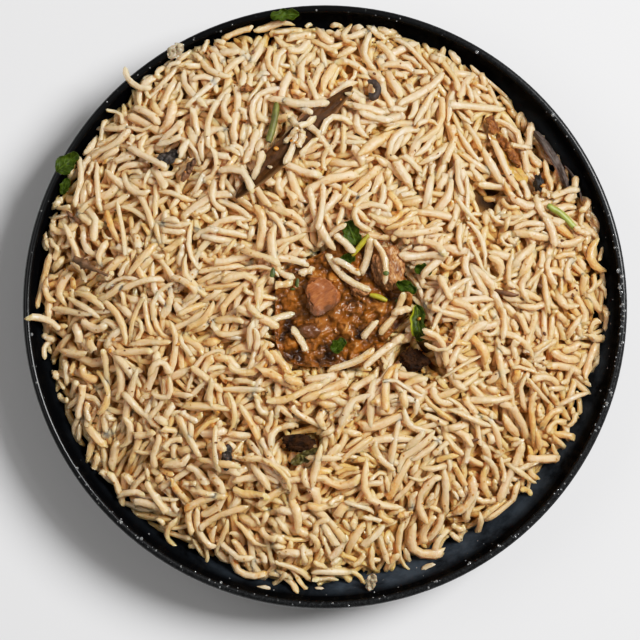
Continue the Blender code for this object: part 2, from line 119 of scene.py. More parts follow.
RING_PLACES = (-1.0, -0.94, -0.80, -0.45, 0.0, 0.45, 0.80, 0.94, 1.0)
KINDS = {  # ring sizes from one end of a grain to the other
    "slender": (0.22, 0.50, 0.78, 1.0, 1.04, 0.94, 0.74, 0.48, 0.20),
    "blunt": (0.56, 0.86, 1.0, 1.04, 0.96, 1.0, 1.04, 0.84, 0.48),
    "knobby": (0.54, 0.90, 1.04, 0.94, 1.0, 0.90, 1.06, 0.94, 0.60),
    "split": (0.34, 0.70, 0.90, 1.0, 0.94, 1.0, 1.06, 1.14, 0.96),
}
KIND_SHARES = (0.34, 0.28, 0.22, 0.16)
Grain = collections.namedtuple("Grain", "kind path radius tone stain")


# ---------------------------------------------------------------- forms of the plate and the heap
def wrapped(angle):
    """An angle, or an array of them, brought between minus pi and pi."""
    return (angle + math.pi) % (2 * math.pi) - math.pi


def well_height(x, y):
    """Height of the plate's inner surface."""
    radii, heights = zip(*WELL)
    return np.interp(np.hypot(x, y) / MM, radii, heights) * MM


def heap_outline(angle):
    """Distance from the heap's centre to its uneven edge."""
    wave = 1.1 * MM * np.sin(3 * angle + 0.6) + 0.8 * MM * np.sin(7 * angle)
    bark_bay = 4.5 * MM * np.exp(-((wrapped(angle - math.radians(33)) / 0.24) ** 2))
    lower_dip = 1.8 * MM * np.exp(-((wrapped(angle + math.radians(75)) / 0.3) ** 2))
    return HEAP_RADIUS + wave - bark_bay - lower_dip


def masala_outline(angle):
    """Distance from the masala's centre to its edge."""
    return MASALA_RADIUS * (1 + 0.09 * np.sin(2 * angle + 0.4) + 0.06 * np.sin(5 * angle + 1))


def heap_height(x, y):
    """Height of the heap without its unevenness."""
    dx = np.asarray(x) - HEAP_CENTRE[0]
    dy = np.asarray(y) - HEAP_CENTRE[1]
    angle = np.arctan2(dy, dx)
    edge = heap_outline(angle)
    low = well_height(HEAP_CENTRE[0] + edge * np.cos(angle), HEAP_CENTRE[1] + edge * np.sin(angle))
    low = low + EDGE_LIFT
    share = np.minimum(np.hypot(dx, dy) / edge, 1.0)
    height = low + (HEAP_PEAK - low) * (1 - share**3) ** 0.8
    for hx, hy, radius, depth in HOLLOWS:
        away = np.hypot(np.asarray(x) / MM - hx, np.asarray(y) / MM - hy) / radius
        height = height - depth * MM * np.exp(-(away**4))
    return height


def soft_noise(x, y, size, seed):
    """Smooth random values between -1 and 1 whose lumps are about size across."""
    table = np.random.default_rng(seed).uniform(-1, 1, (64, 64))
    u, v = np.asarray(x) / size, np.asarray(y) / size
    iu, iv = np.floor(u).astype(int), np.floor(v).astype(int)
    fu, fv = u - iu, v - iv
    fu, fv = fu * fu * (3 - 2 * fu), fv * fv * (3 - 2 * fv)
    a, b = table[iu % 64, iv % 64], table[(iu + 1) % 64, iv % 64]
    c, d = table[iu % 64, (iv + 1) % 64], table[(iu + 1) % 64, (iv + 1) % 64]
    return (a * (1 - fu) + b * fu) * (1 - fv) + (c * (1 - fu) + d * fu) * fv


def envelope(x, y):
    """Height that the top of the pile reaches: fuller at the edge than the solid's thin rim."""
    dx, dy = x - HEAP_CENTRE[0], y - HEAP_CENTRE[1]
    share = np.hypot(dx, dy) / heap_outline(np.arctan2(dy, dx))
    rim = np.clip((share - 0.84) / 0.16, 0, 1)
    return heap_height(x, y) + 1.1 * MM * soft_noise(x, y, 14 * MM, 3) + EDGE_FILL * rim * rim


# ---------------------------------------------------------------- modelling tools
def deselect():
    """Leave edit mode with nothing selected."""
    if bpy.context.object and bpy.context.object.mode != "OBJECT":
        done()
    bpy.ops.object.select_all(action="DESELECT")


def named(name):
    """Name the active object and its mesh."""
    obj = bpy.context.object
    obj.name = obj.data.name = name
    return obj


def edit():
    """Start editing the active object's points, with none selected."""
    bpy.ops.object.mode_set(mode="EDIT")
    bpy.ops.mesh.select_mode(type="VERT")
    bpy.ops.mesh.select_all(action="DESELECT")


def done():
    bpy.ops.object.mode_set(mode="OBJECT")


def pick(obj, test):
    """In edit mode, select the points that pass a test and what lies between them."""
    bm = bmesh.from_edit_mesh(obj.data)
    for vert in bm.verts:
        vert.select_set(test(vert.co))
    bm.select_flush(True)
    bmesh.update_edit_mesh(obj.data)


def activate(obj):
    """Make one object the only selected one."""
    deselect()
    obj.select_set(True)
    bpy.context.view_layer.objects.active = obj


def disc_solid(name):
    """A round plate one unit thick, cut into small even faces, ready to be drawn to its form."""
    deselect()
    bpy.ops.mesh.primitive_grid_add(x_subdivisions=DISC_CUTS, y_subdivisions=DISC_CUTS, size=2)
    disc = named(name)
    edit()
    bpy.ops.mesh.select_all(action="SELECT")
    bpy.ops.mesh.extrude_region_move(TRANSFORM_OT_translate={"value": (0, 0, -1)})
    bpy.ops.mesh.select_all(action="SELECT")
    bpy.ops.mesh.normals_make_consistent(inside=False)
    done()
    for vert in disc.data.vertices:
        x, y = vert.co.x, vert.co.y
        vert.co.x = x * math.sqrt(max(1 - y * y / 2, 0))
        vert.co.y = y * math.sqrt(max(1 - x * x / 2, 0))
    return disc


def spread_out(disc, centre, outline):
    """Each point of a round plate, with its place between a centre and an outline."""
    for vert in disc.data.vertices:
        angle, share = math.atan2(vert.co.y, vert.co.x), math.hypot(vert.co.x, vert.co.y)
        reach = float(outline(angle)) * share
        yield vert, share, centre[0] + reach * math.cos(angle), centre[1] + reach * math.sin(angle)


def ringed_bar(name, rings, sides):
    """A round bar from -1 to 1 in height, cut into rings and left in edit mode."""
    deselect()
    bpy.ops.mesh.primitive_cylinder_add(
        vertices=sides, radius=1, depth=2, end_fill_type="TRIFAN", location=(0, 0, 0)
    )
    bar = named(name)
    edit()
    bm = bmesh.from_edit_mesh(bar.data)
    for edge in bm.edges:
        edge.select_set(abs(edge.verts[0].co.z - edge.verts[1].co.z) > 1)
    bmesh.update_edit_mesh(bar.data)
    bpy.ops.mesh.subdivide(number_cuts=rings - 2)
    return bar


def joined(name, places, faces):
    """One object of all copies of a form, from the points of each copy and the form's faces."""
    copies, each = places.shape[:2]
    starts = (np.arange(copies) * each)[:, None]
    polygons = [tuple(row) for face in faces for row in (starts + np.array(face)).tolist()]
    mesh = bpy.data.meshes.new(name)
    mesh.from_pydata(places.reshape(-1, 3).tolist(), [], polygons)
    obj = bpy.data.objects.new(name, mesh)
    bpy.context.scene.collection.objects.link(obj)
    return obj


def store(obj, **columns):
    """Keep values at an object's points, for its material."""
    for name, values in columns.items():
        layer = obj.data.attributes.new(name, "FLOAT", "POINT")
        layer.data.foreach_set("value", np.asarray(values, np.float32))


def finish_piece(obj, finish, slot, *nodes, smooth):
    """Give a piece its material and shading, hang it from the root, and hide the solids that it takes the
    place of.
    """
    obj.data.materials.append(finish)
    activate(obj)
    bpy.ops.object.shade_smooth_by_angle(angle=math.radians(smooth))
    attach(obj, "root")
    if nodes:
        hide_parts(*nodes)
    return obj


# ---------------------------------------------------------------- materials
class Nodes:
    """Short ways to add nodes to the tree of a material or a group."""

    def __init__(self, tree):
        self.tree = tree

    def add(self, kind, inputs=None, **settings):
        """Add a node, set its properties, and set or link its inputs."""
        made = self.tree.nodes.new(kind)
        for key, value in settings.items():
            setattr(made, key, value)
        for key, value in (inputs or {}).items():
            if isinstance(value, bpy.types.NodeSocket):
                self.tree.links.new(value, made.inputs[key])
            else:
                made.inputs[key].default_value = value
        return made

    def noise(self, at, scale, detail=3.0, rough=0.55):
        given = {"Vector": at, "Scale": scale, "Detail": detail, "Roughness": rough}
        return self.add("ShaderNodeTexNoise", given).outputs["Fac"]

    def level(self, value, low, high, out_low=0.0, out_high=1.0):
        """Stretch a value from one range to another, held inside it."""
        given = {"Value": value, "From Min": low, "From Max": high, "To Min": out_low, "To Max": out_high}
        return self.add("ShaderNodeMapRange", given).outputs["Result"]

    def maths(self, operation, value, *others):
        """Join a value with each of the others in turn."""
        for other in others or (0.0,):
            value = self.add("ShaderNodeMath", {0: value, 1: other}, operation=operation).outputs[0]
        return value

    def ramp(self, value, *stops):
        """A colour ramp of (position, red, green, blue) stops."""
        made = self.add("ShaderNodeValToRGB", {"Fac": value})
        elements = made.color_ramp.elements
        while len(elements) < len(stops):
            elements.new(0.5)
        for element, (position, *colour) in zip(elements, stops):
            element.position = position
            element.color = (*colour, 1.0)
        return made.outputs["Color"]

    def coats(self, colour, *coats):
        """Lay (share, colour) coats over a colour, one after another."""
        for share, tint in coats:
            a, b = ((*c, 1.0) if isinstance(c, tuple) else c for c in (colour, tint))
            colour = self.add("ShaderNodeMix", {0: share, 6: a, 7: b}, data_type="RGBA").outputs[2]
        return colour


class Surface(Nodes):
    """A Principled material; sockets are named with underscores for spaces."""

    def __init__(self, name, roughness, **sockets):
        self.mat = bpy.data.materials.new(name)
        self.mat.use_nodes = True
        super().__init__(self.mat.node_tree)
        self.shader = self.tree.nodes["Principled BSDF"]
        for key, value in {"Roughness": roughness, **sockets}.items():
            self.shader.inputs[key.replace("_", " ")].default_value = value

    @property
    def place(self):
        return self.add("ShaderNodeTexCoord").outputs["Object"]

    def attribute(self, name):
        return self.add("ShaderNodeAttribute", attribute_name=name).outputs["Fac"]

    def axes(self, vector):
        return self.add("ShaderNodeSeparateXYZ", {"Vector": vector}).outputs

    def effect(self, group, **inputs):
        """Place a node group with its own values."""
        given = {key.replace("_", " "): value for key, value in inputs.items()}
        return self.add("ShaderNodeGroup", given, node_tree=bpy.data.node_groups[group]).outputs

    def patches(self, scale, detail, low, high, out_low=0.0, out_high=1.0, rough=0.55):
        """Soft patches of noise, stretched from between two levels."""
        made = self.effect(
            "patches", Vector=self.place, Scale=scale, Detail=detail, Roughness=rough,
            Low=low, High=high, Out_Low=out_low, Out_High=out_high,
        )
        return made["Mask"]

    def near_spot(self, x, y, scale, jitter):
        """Distance from a spot given in mm, seen from above, with an uneven edge."""
        made = self.effect(
            "near_spot", Vector=self.place, Centre=(x * MM, y * MM, 0), Scale=scale, Jitter=jitter
        )
        return made["Distance"]

    def feed(self, socket, value):
        self.tree.links.new(value, self.shader.inputs[socket])

    def bump(self, height, distance, strength=1.0, socket="Normal"):
        given = {"Height": height, "Distance": distance, "Strength": strength}
        self.feed(socket, self.add("ShaderNodeBump", given).outputs["Normal"])


def new_group(name, inputs, outputs):
    """A node group with named sockets: its nodes, what it is given, and what it puts out."""
    tree = bpy.data.node_groups.new(name, "ShaderNodeTree")
    for socket in inputs:
        kind = "NodeSocketVector" if socket in ("Vector", "Centre") else "NodeSocketFloat"
        tree.interface.new_socket(name=socket, in_out="INPUT", socket_type=kind)
    for socket in outputs:
        tree.interface.new_socket(name=socket, in_out="OUTPUT", socket_type="NodeSocketFloat")
    group = Nodes(tree)
    return group, group.add("NodeGroupInput").outputs, group.add("NodeGroupOutput").inputs


def make_groups():
    """The effects that several materials use."""
    inputs = ("Vector", "Scale", "Detail", "Roughness", "Low", "High", "Out Low", "Out High")
    group, given, out = new_group("patches", inputs, ("Mask",))
    value = group.noise(*(given[key] for key in inputs[:4]))
    group.tree.links.new(group.level(value, *(given[key] for key in inputs[4:])), out["Mask"])

    inputs = ("Vector", "Scale", "Fine Scale", "Fine Share")
    group, given, out = new_group("mottle", inputs, ("Value", "Fine"))
    broad = group.noise(given["Vector"], given["Scale"], 4.0, 0.6)
    fine = group.noise(given["Vector"], given["Fine Scale"], 3.0, 0.6)
    both = group.add("ShaderNodeMix", {0: given["Fine Share"], 2: broad, 3: fine}).outputs[0]
    group.tree.links.new(both, out["Value"])
    group.tree.links.new(fine, out["Fine"])

    group, given, out = new_group("near_spot", ("Vector", "Centre", "Scale", "Jitter"), ("Distance",))
    flat = group.add("ShaderNodeVectorMath", {0: given["Vector"], 1: (1, 1, 0)}, operation="MULTIPLY")
    ends = {0: flat.outputs["Vector"], 1: given["Centre"]}
    away = group.add("ShaderNodeVectorMath", ends, operation="DISTANCE").outputs["Value"]
    back = group.maths("MULTIPLY", given["Jitter"], -1.0)
    uneven = group.level(group.noise(given["Vector"], given["Scale"]), 0.3, 0.7, back, given["Jitter"])
    group.tree.links.new(group.maths("ADD", away, uneven), out["Distance"])

    group, given, out = new_group("leaf_veins", ("U", "V", "Veins"), ("Lines",))
    aside = group.maths("ABSOLUTE", group.maths("SUBTRACT", given["V"], 0.5))
    middle = group.level(aside, 0.02, 0.06, 1.0, 0.0)
    slant = group.maths("MULTIPLY", aside, given["Veins"], 0.5)
    slant = group.maths("SUBTRACT", group.maths("MULTIPLY", given["U"], given["Veins"]), slant)
    wave = group.maths("ABSOLUTE", group.maths("SUBTRACT", group.maths("FRACT", slant), 0.5))
    lines = group.maths("MAXIMUM", middle, group.level(wave, 0.03, 0.11, 0.7, 0.0))
    group.tree.links.new(lines, out["Lines"])


def rice_material():
    """Moist cooked rice: cream to golden grains with stains and specks, with painted light and shade:
    brighter golden lower sides, orange then brown deep in the pile, browner towards the right, paler
    towards the far side, and broad darker golden patches.
    """
    rice = Surface(
        "rice", 0.45, Subsurface_Weight=1.0, Subsurface_Radius=(1.0, 0.96, 0.86),
        Subsurface_Scale=3.4 * MM, Coat_Weight=1.0, Coat_Roughness=0.12, Specular_IOR_Level=0.25,
    )
    x, y, _ = rice.axes(rice.place)
    shade = rice.maths(
        "ADD", rice.attribute("tone"), rice.patches(190, 2, 0.3, 0.7, -0.22, 0.22),
        rice.patches(38, 2, 0.35, 0.65, -0.22, 0.22),
        # painted shade: browner towards the right, where the lamp falls strongest; painted light: paler
        # towards the far side
        rice.level(x, -90 * MM, 90 * MM, -0.06, 0.08), rice.level(y, 0, 90 * MM, 0, -0.42),
    )
    cells = rice.add("ShaderNodeTexVoronoi", {"Vector": rice.place, "Scale": 330}).outputs
    draw = rice.add("ShaderNodeSeparateColor", {"Color": cells["Color"]}).outputs[0]
    dot, rare = rice.level(cells["Distance"], 0.10, 0.18, 1, 0), rice.level(draw, 0.64, 0.67)
    stain = rice.maths("MULTIPLY", rice.attribute("stain"), rice.patches(420, 2, 0.42, 0.62))
    deep = rice.attribute("deep")
    grain = rice.ramp(
        shade, (0.0, 0.95, 0.60, 0.385), (0.4, 0.94, 0.56, 0.325),
        (0.8, 0.91, 0.50, 0.25), (1.0, 0.85, 0.41, 0.14),
    )
    rice.feed("Base Color", rice.coats(
        grain,
        # painted light: the grains' shaded lower sides are painted brighter and more golden, for light
        # passing through the grains
        (rice.attribute("flank"), (0.98, 0.67, 0.25)),
        # painted bounce light and painted shade: grains deep in the pile are painted orange, and deeper
        # still dark brown, for the warm light and the shade among the grains
        (deep, (0.96, 0.52, 0.07)),
        (rice.level(deep, 0.45, 0.8, 0.0, 0.8), (0.42, 0.17, 0.02)),
        (stain, (0.72, 0.27, 0.02)),
        (rice.maths("MULTIPLY", dot, rare), (0.46, 0.19, 0.03)),
        # painted shade: browner towards the right, where the lamp falls strongest
        (rice.level(x, 10 * MM, 80 * MM, 0.0, 0.23), (0.42, 0.26, 0.13)),
        (rice.patches(520, 3, 0.35, 0.65, 0.10, 0.0), (0.50, 0.30, 0.10)),
        # painted shade: broad darker golden patches, for the shaded hollows between mounds of rice
        (rice.patches(70, 3, 0.40, 0.60, 0.22, 0.0), (0.82, 0.40, 0.14)),
    ))
    wrinkle = rice.noise(rice.place, 620, 4, 0.65)
    rice.feed("Roughness", rice.level(wrinkle, 0.3, 0.7, 0.34, 0.52))
    rice.bump(wrinkle, 0.8 * MM)
    rice.bump(rice.noise(rice.place, 1300, 2), 0.35 * MM, 1.0, "Coat Normal")
    return rice.mat


def core_material():
    """The rice under the loose grains, with its shade painted in: dark brown, and nearly black in the
    hollows.
    """
    core = Surface("rice_depth", 0.7, Specular_IOR_Level=0.1)
    lumps = core.noise(core.place, 260)
    # painted shade: dark browns for rice lying in shade under the loose grains
    brown = core.ramp(lumps, (0.3, 0.22, 0.085, 0.015), (0.7, 0.62, 0.34, 0.10))
    # painted shade: nearly black in the heap's hollows
    core.feed("Base Color", core.coats(brown, (core.attribute("hollow"), (0.018, 0.006, 0.001))))
    core.bump(lumps, 1.5 * MM)
    return core.mat


def masala_material():
    """Oily brown sauce: lumps of onion and spice under a wet coat, with painted shade darker between them.
    """
    sauce = Surface("masala", 0.45, Coat_Weight=0.32, Coat_Roughness=0.12, Specular_IOR_Level=0.15)
    broad = 160
    lumps = sauce.effect("mottle", Vector=sauce.place, Scale=broad, Fine_Scale=700, Fine_Share=0.4)
    brown = sauce.ramp(
        # painted shade: the sauce is painted darker where it lies low between lumps
        sauce.maths("ADD", lumps["Value"], sauce.level(sauce.attribute("raised"), 0, 1, -0.30, 0.2)),
        (0.26, 0.030, 0.008, 0.0006), (0.38, 0.105, 0.033, 0.003),
        (0.54, 0.225, 0.075, 0.007), (0.72, 0.40, 0.165, 0.035),
    )
    oil = sauce.maths("MULTIPLY", sauce.patches(230, 2, 0.50, 0.64), 0.45)
    meat = sauce.level(sauce.near_spot(0.5, -3.5, 240, 2.5 * MM), 3.0 * MM, 7.5 * MM, 0.5, 0.0)
    sauce.feed("Base Color", sauce.coats(brown, (oil, (0.32, 0.098, 0.004)), (meat, (0.29, 0.105, 0.022))))
    sauce.feed("Roughness", sauce.level(lumps["Fine"], 0.35, 0.65, 0.3, 0.55))
    sauce.bump(lumps["Fine"], 0.4 * MM, 0.6)
    sauce.bump(sauce.noise(sauce.place, broad, 4, 0.6), 0.15 * MM, 0.4, "Coat Normal")
    return sauce.mat


def glaze_material():
    """Black glaze: grey steam on the lip and a bluish layer of fat low on the inner slope, both stronger on
    the lit side and with their sheen painted into the colour.
    """
    glaze = Surface("black_glaze", 0.3)
    x, y, _ = glaze.axes(glaze.place)
    out = glaze.maths("SQRT", glaze.maths(
        "ADD", glaze.maths("POWER", x, 2.0), glaze.maths("POWER", y, 2.0)
    ))
    lit = glaze.maths("SUBTRACT", x, glaze.maths("MULTIPLY", y, 0.7))
    # painted reflection: a bluish sheen painted into the colour low on the inner slope, strongest on the
    # lit side, over a layer of fat
    fat_film_painted_sheen = glaze.maths(
        "MULTIPLY", glaze.patches(60, 5, 0.36, 0.62, rough=0.65),
        glaze.level(out, 98.5 * MM, 101.0 * MM, 1.0, 0.0), glaze.level(lit, 0.0, 80.0 * MM, 0.12, 1.0),
    )
    lip = glaze.level(out, 102.3 * MM, 103.2 * MM)
    # steam on the lip, rougher, with its grey sheen painted into the colour on the lit side
    steam_and_painted_sheen = glaze.maths(
        "MULTIPLY", lip, glaze.patches(900, 4, 0.30, 0.75, rough=0.7),
        glaze.level(lit, -70 * MM, 20 * MM, 0.1, 1.0),
    )
    glaze.feed("Base Color", glaze.coats(
        (0.0012, 0.0013, 0.0016), (fat_film_painted_sheen, (0.037, 0.048, 0.061)), (steam_and_painted_sheen, (0.018, 0.019, 0.020))
    ))
    glaze.feed("Roughness", glaze.level(steam_and_painted_sheen, 0.0, 1.0, 0.20, 0.34))
    glaze.feed("Specular IOR Level", glaze.level(lip, 0.0, 1.0, 0.005, 0.26))
    glaze.bump(glaze.noise(glaze.place, 700), 0.05 * MM, 0.6)
    return glaze.mat


def mottled(name, roughness, stops, scale, depth, stretch=(1, 1, 1), turn=0.0, sauce=None, **sockets):
    """A food material: colours mixed by uneven noise, with relief of the same pattern, and if wanted
    sauce beyond a spot given as x, y and radius in mm."""
    food = Surface(name, roughness, **sockets)
    settings = {"Vector": food.place, "Scale": stretch, "Rotation": (0, 0, -math.radians(turn))}
    turned = food.add("ShaderNodeMapping", settings, vector_type="TEXTURE").outputs["Vector"]
    lumps = food.effect("mottle", Vector=turned, Scale=scale, Fine_Scale=scale * 4.5, Fine_Share=0.3)
    colour = food.ramp(lumps["Value"], *stops)
    if sauce:
        x, y, radius = sauce
        away = food.near_spot(x, y, 260, 2.2 * MM)
        share = food.level(away, (radius - 1.0) * MM, (radius + 1.4) * MM, 0.0, 0.92)
        colour = food.coats(colour, (share, (0.11, 0.034, 0.004)))
    food.feed("Base Color", colour)
    low, high = max(roughness - 0.12, 0.05), roughness + 0.12
    food.feed("Roughness", food.level(lumps["Fine"], 0.3, 0.7, low, high))
    food.bump(lumps["Value"], depth * MM)
    return food.mat


def leaf_material(name, roughness, dark, light, rib, veins, edge=None, relief=0.25):
    """A leaf: mottled between two colours, with a rib, side veins and if wanted a pale edge."""
    leaf = Surface(
        name, roughness, Subsurface_Weight=0.1, Subsurface_Scale=0.4 * MM, Specular_IOR_Level=0.15
    )
    u, v, _ = leaf.axes(leaf.add("ShaderNodeTexCoord").outputs["UV"])
    mottle = leaf.noise(leaf.place, 500, 4, 0.6)
    lines = leaf.effect("leaf_veins", U=u, V=v, Veins=veins)["Lines"]
    colour = leaf.ramp(mottle, (0.32, *dark), (0.68, *light))
    colour = leaf.coats(colour, (leaf.maths("MULTIPLY", lines, 0.75), rib))
    if edge:
        colour = leaf.coats(colour, (leaf.level(v, 0.0, 0.16, 0.9, 0.0), edge))
    leaf.feed("Base Color", colour)
    height = leaf.maths("ADD", leaf.maths("MULTIPLY", lines, 0.7), leaf.maths("MULTIPLY", mottle, 0.6))
    leaf.bump(height, relief * MM)
    return leaf.mat


# ---------------------------------------------------------------- plate
def rounded(points, times=3):
    """Cut the corners of an open line of points, keeping its ends."""
    for _ in range(times):
        cut = [points[0]]
        for a, b in zip(points, points[1:]):
            cut.append((0.75 * a[0] + 0.25 * b[0], 0.75 * a[1] + 0.25 * b[1]))
            cut.append((0.25 * a[0] + 0.75 * b[0], 0.25 * a[1] + 0.75 * b[1]))
        points = cut + [points[-1]]
    return points


def plate_profile():
    """Points from the middle of the well, over the lip and down to the middle of the foot."""
    lip_r, lip_z = PLATE_RADIUS - LIP_RADIUS, RIM_HEIGHT - LIP_RADIUS
    lip = [
        (lip_r + LIP_RADIUS * math.cos(math.radians(a)), lip_z + LIP_RADIUS * math.sin(math.radians(a)))
        for a in range(160, -21, -20)
    ]
    well, under, foot = ([(r * MM, z * MM) for r, z in line] for line in (WELL, UNDERSIDE, FOOT))
    return well[:1] + rounded(well[1:]) + lip + rounded(under) + foot


def make_plate(finish):
    """Turn the plate from its profile, drawn point by point from one corner of a small square."""
    profile = [Vector((r, 0, z)) for r, z in plate_profile()]
    deselect()
    bpy.ops.mesh.primitive_plane_add(size=MM)
    plate = named("plate_glazed")
    edit()
    pick(plate, lambda co: co.x < 0 or co.y < 0)
    bpy.ops.mesh.delete(type="VERT")
    bpy.ops.mesh.select_all(action="SELECT")
    corner = bmesh.from_edit_mesh(plate.data).verts[:][0].co.copy()
    bpy.ops.transform.translate(value=profile[0] - corner)
    for here, then in zip(profile, profile[1:]):
        bpy.ops.mesh.extrude_region_move(TRANSFORM_OT_translate={"value": then - here})
    bpy.ops.mesh.select_all(action="SELECT")
    bpy.ops.mesh.spin(steps=PLATE_STEPS, angle=2 * math.pi, center=(0, 0, 0), axis=(0, 0, 1))
    bpy.ops.mesh.select_all(action="SELECT")
    bpy.ops.mesh.remove_doubles(threshold=0.005 * MM)
    bpy.ops.mesh.normals_make_consistent(inside=False)
    done()
    return finish_piece(plate, finish, "black_glaze", "plate", smooth=60)


# ---------------------------------------------------------------- the field that things are laid on
class Field:
    """A grid of heights that grains and toppings come to rest on, and then raise."""

    def __init__(self):
        self.count = int(2 * FIELD_HALF / CELL) + 1
        line = np.linspace(-FIELD_HALF, FIELD_HALF, self.count)
        self.x, self.y = np.meshgrid(line, line, indexing="ij")
        away = np.hypot(self.x, self.y)
        self.height = well_height(self.x, self.y)
        self.height[away > PLATE_RADIUS - 2.6 * MM] = RIM_HEIGHT
        self.height[away > PLATE_RADIUS] = 0.0
        dx, dy = self.x - HEAP_CENTRE[0], self.y - HEAP_CENTRE[1]
        inside = np.hypot(dx, dy) < heap_outline(np.arctan2(dy, dx)) - CORE_INSET
        core = heap_height(self.x, self.y) - CORE_DEPTH
        self.height[inside] = np.maximum(self.height, core)[inside]
        self.ceiling = np.full(self.x.shape, np.inf)
        self.open = np.zeros(self.x.shape, bool)

    def index(self, x, y):
        """Grid cells of places, kept a little inside the field's edge."""
        i = np.clip(np.rint((x + FIELD_HALF) / CELL).astype(int), 6, self.count - 7)
        j = np.clip(np.rint((y + FIELD_HALF) / CELL).astype(int), 6, self.count - 7)
        return i, j

    def under(self, x, y, radius):
        """Height at which a ball set down at each place would have its centre."""
        span = int(math.ceil(radius / CELL))
        reach = np.arange(-span, span + 1)
        away = (reach[:, None] ** 2 + reach[None, :] ** 2) * CELL**2
        ball = np.where(away < radius**2, np.sqrt(np.maximum(radius**2 - away, 0)), -1.0)
        i, j = self.index(x, y)
        near = self.height[i[..., None, None] + reach[:, None], j[..., None, None] + reach[None, :]]
        return (near + ball).max(axis=(-2, -1))

    def skin(self, obj, steps=6):
        """Grid places and heights of points spread over an object's faces."""
        mesh = obj.data
        mesh.calc_loop_triangles()
        corners = np.zeros(len(mesh.vertices) * 3)
        mesh.vertices.foreach_get("co", corners)
        faces = np.zeros(len(mesh.loop_triangles) * 3, int)
        mesh.loop_triangles.foreach_get("vertices", faces)
        corners = corners.reshape(-1, 3)[faces].reshape(-1, 3, 3)
        shares = [(a / steps, b / steps) for a in range(steps + 1) for b in range(steps + 1 - a)]
        points = np.concatenate([
            corners[:, 0] * a + corners[:, 1] * b + corners[:, 2] * (1 - a - b) for a, b in shares
        ])
        return self.index(points[:, 0], points[:, 1]), points[:, 2]

    def keep_clear(self, obj):
        """Let nothing be laid where it would come up through an object."""
        np.minimum.at(self.ceiling, *self.skin(obj))

    def keep_open(self, x, y, radius, depth):
        """Keep the top of a hollow free: nothing lies higher than a depth under the heap's top."""
        inside = np.hypot(self.x - x * MM, self.y - y * MM) < radius * MM
        low = heap_height(self.x, self.y) - depth * MM
        self.ceiling[inside] = np.minimum(self.ceiling, low)[inside]
        self.open |= inside

    def widen_ceiling(self, cells=2):
        """Spread the ceiling's low places by a few cells."""
        low = self.ceiling.copy()
        for i in range(-cells, cells + 1):
            for j in range(-cells, cells + 1):
                low = np.minimum(low, np.roll(self.ceiling, (i, j), axis=(0, 1)))
        self.ceiling = low

    def cover(self, obj):
        """Let later things rest on an object."""
        np.maximum.at(self.height, *self.skin(obj))

    def press(self, path, radius):
        """Raise the field under a laid grain, as a row of balls."""
        steps = np.linspace(0, len(path) - 1, 28)
        x, y, z = (np.interp(steps, np.arange(len(path)), path[:, k]) for k in range(3))
        i, j = self.index(x, y)
        span = int(math.ceil(radius / CELL))
        reach = np.arange(-span, span + 1)
        gi = np.clip(i[:, None, None] + reach[:, None], 0, self.count - 1)
        gj = np.clip(j[:, None, None] + reach[None, :], 0, self.count - 1)
        away = (self.x[gi, gj] - x[:, None, None]) ** 2 + (self.y[gi, gj] - y[:, None, None]) ** 2
        ball = z[:, None, None] + np.sqrt(np.maximum(radius**2 - away, 0))
        ball[away > radius**2] = -1.0
        np.maximum.at(self.height, (gi, gj), ball)


# ---------------------------------------------------------------- grains
def resting_lines(along, heights):
    """For each row, the lowest straight line over all heights that is held up on both sides."""
    count = along.shape[1]
    middle = count // 2
    i, j = np.array([(i, j) for i in range(middle + 1) for j in range(max(middle, i + 1), count)]).T
    slope = (heights[:, j] - heights[:, i]) / (along[:, j] - along[:, i])
    lines = heights[:, i, None] + slope[..., None] * (along[:, None, :] - along[:, i, None])
    over = (lines >= heights[:, None, :] - 1e-6).all(axis=2)
    best = np.where(over, lines[..., middle], np.inf).argmin(axis=1)
    rows = np.arange(len(along))
    return lines[rows, best], np.abs(slope[rows, best])


def lay_grains(field, centre, heading, length, bend, sway, hook, radius, cap=3.0 * MM):
    """Try grains on the field, one for each centre and heading: each is bent, rests on what holds it
    up and sags a little between."""
    t = np.linspace(-1, 1, GRAIN_RINGS)
    along = t * length / 2 * (1 - 0.25 * abs(bend) * t * t)
    aside = bend * length * (0.5 - t * t) + sway * length * (t**3 - 0.6 * t)
    aside = aside + hook * length * np.maximum(t - 0.3, 0) ** 2
    cos, sin = np.cos(heading)[..., None], np.sin(heading)[..., None]
    x = centre[0][..., None] + along * cos - aside * sin
    y = centre[1][..., None] + along * sin + aside * cos
    ground = field.under(x, y, radius)
    lines, slope = resting_lines(np.broadcast_to(along, x.shape), ground)
    gap = np.minimum(lines - ground, cap)
    gap = 0.25 * np.roll(gap, 1, axis=1) + 0.5 * gap + 0.25 * np.roll(gap, -1, axis=1)
    z = np.minimum(lines - GRAIN_GIVE * gap - SOFTNESS * radius, TOP_LIMIT - radius)
    return np.stack((x, y, z), axis=2), slope


def draw_grain(rng):
    """Size, bend and colour of a grain, as uneven as cooked rice is."""
    length = float(np.clip(rng.normal(12.8, 3.6), 6.0, 21.0)) * MM
    if rng.random() < 0.12:
        length = rng.uniform(4.5, 9.0) * MM
    bend = rng.normal(0, 0.05)
    if rng.random() < 0.22:
        bend = rng.choice((-1, 1)) * rng.uniform(0.12, 0.36)
    hook = rng.choice((-1, 1)) * rng.uniform(0.2, 0.6) if rng.random() < 0.3 else 0.0
    radius = GRAIN_RADIUS * float(np.clip(rng.normal(1.0, 0.13), 0.72, 1.28))
    tone = float(np.clip(rng.normal(0.42, 0.24), 0.0, 1.0))
    stain = rng.uniform(0.5, 1.0) if rng.random() < 0.07 else rng.uniform(0.0, 0.12)
    kind = rng.choice(tuple(KINDS), p=KIND_SHARES)
    return length, bend, rng.normal(0, 0.04), hook, radius, tone, stain, kind


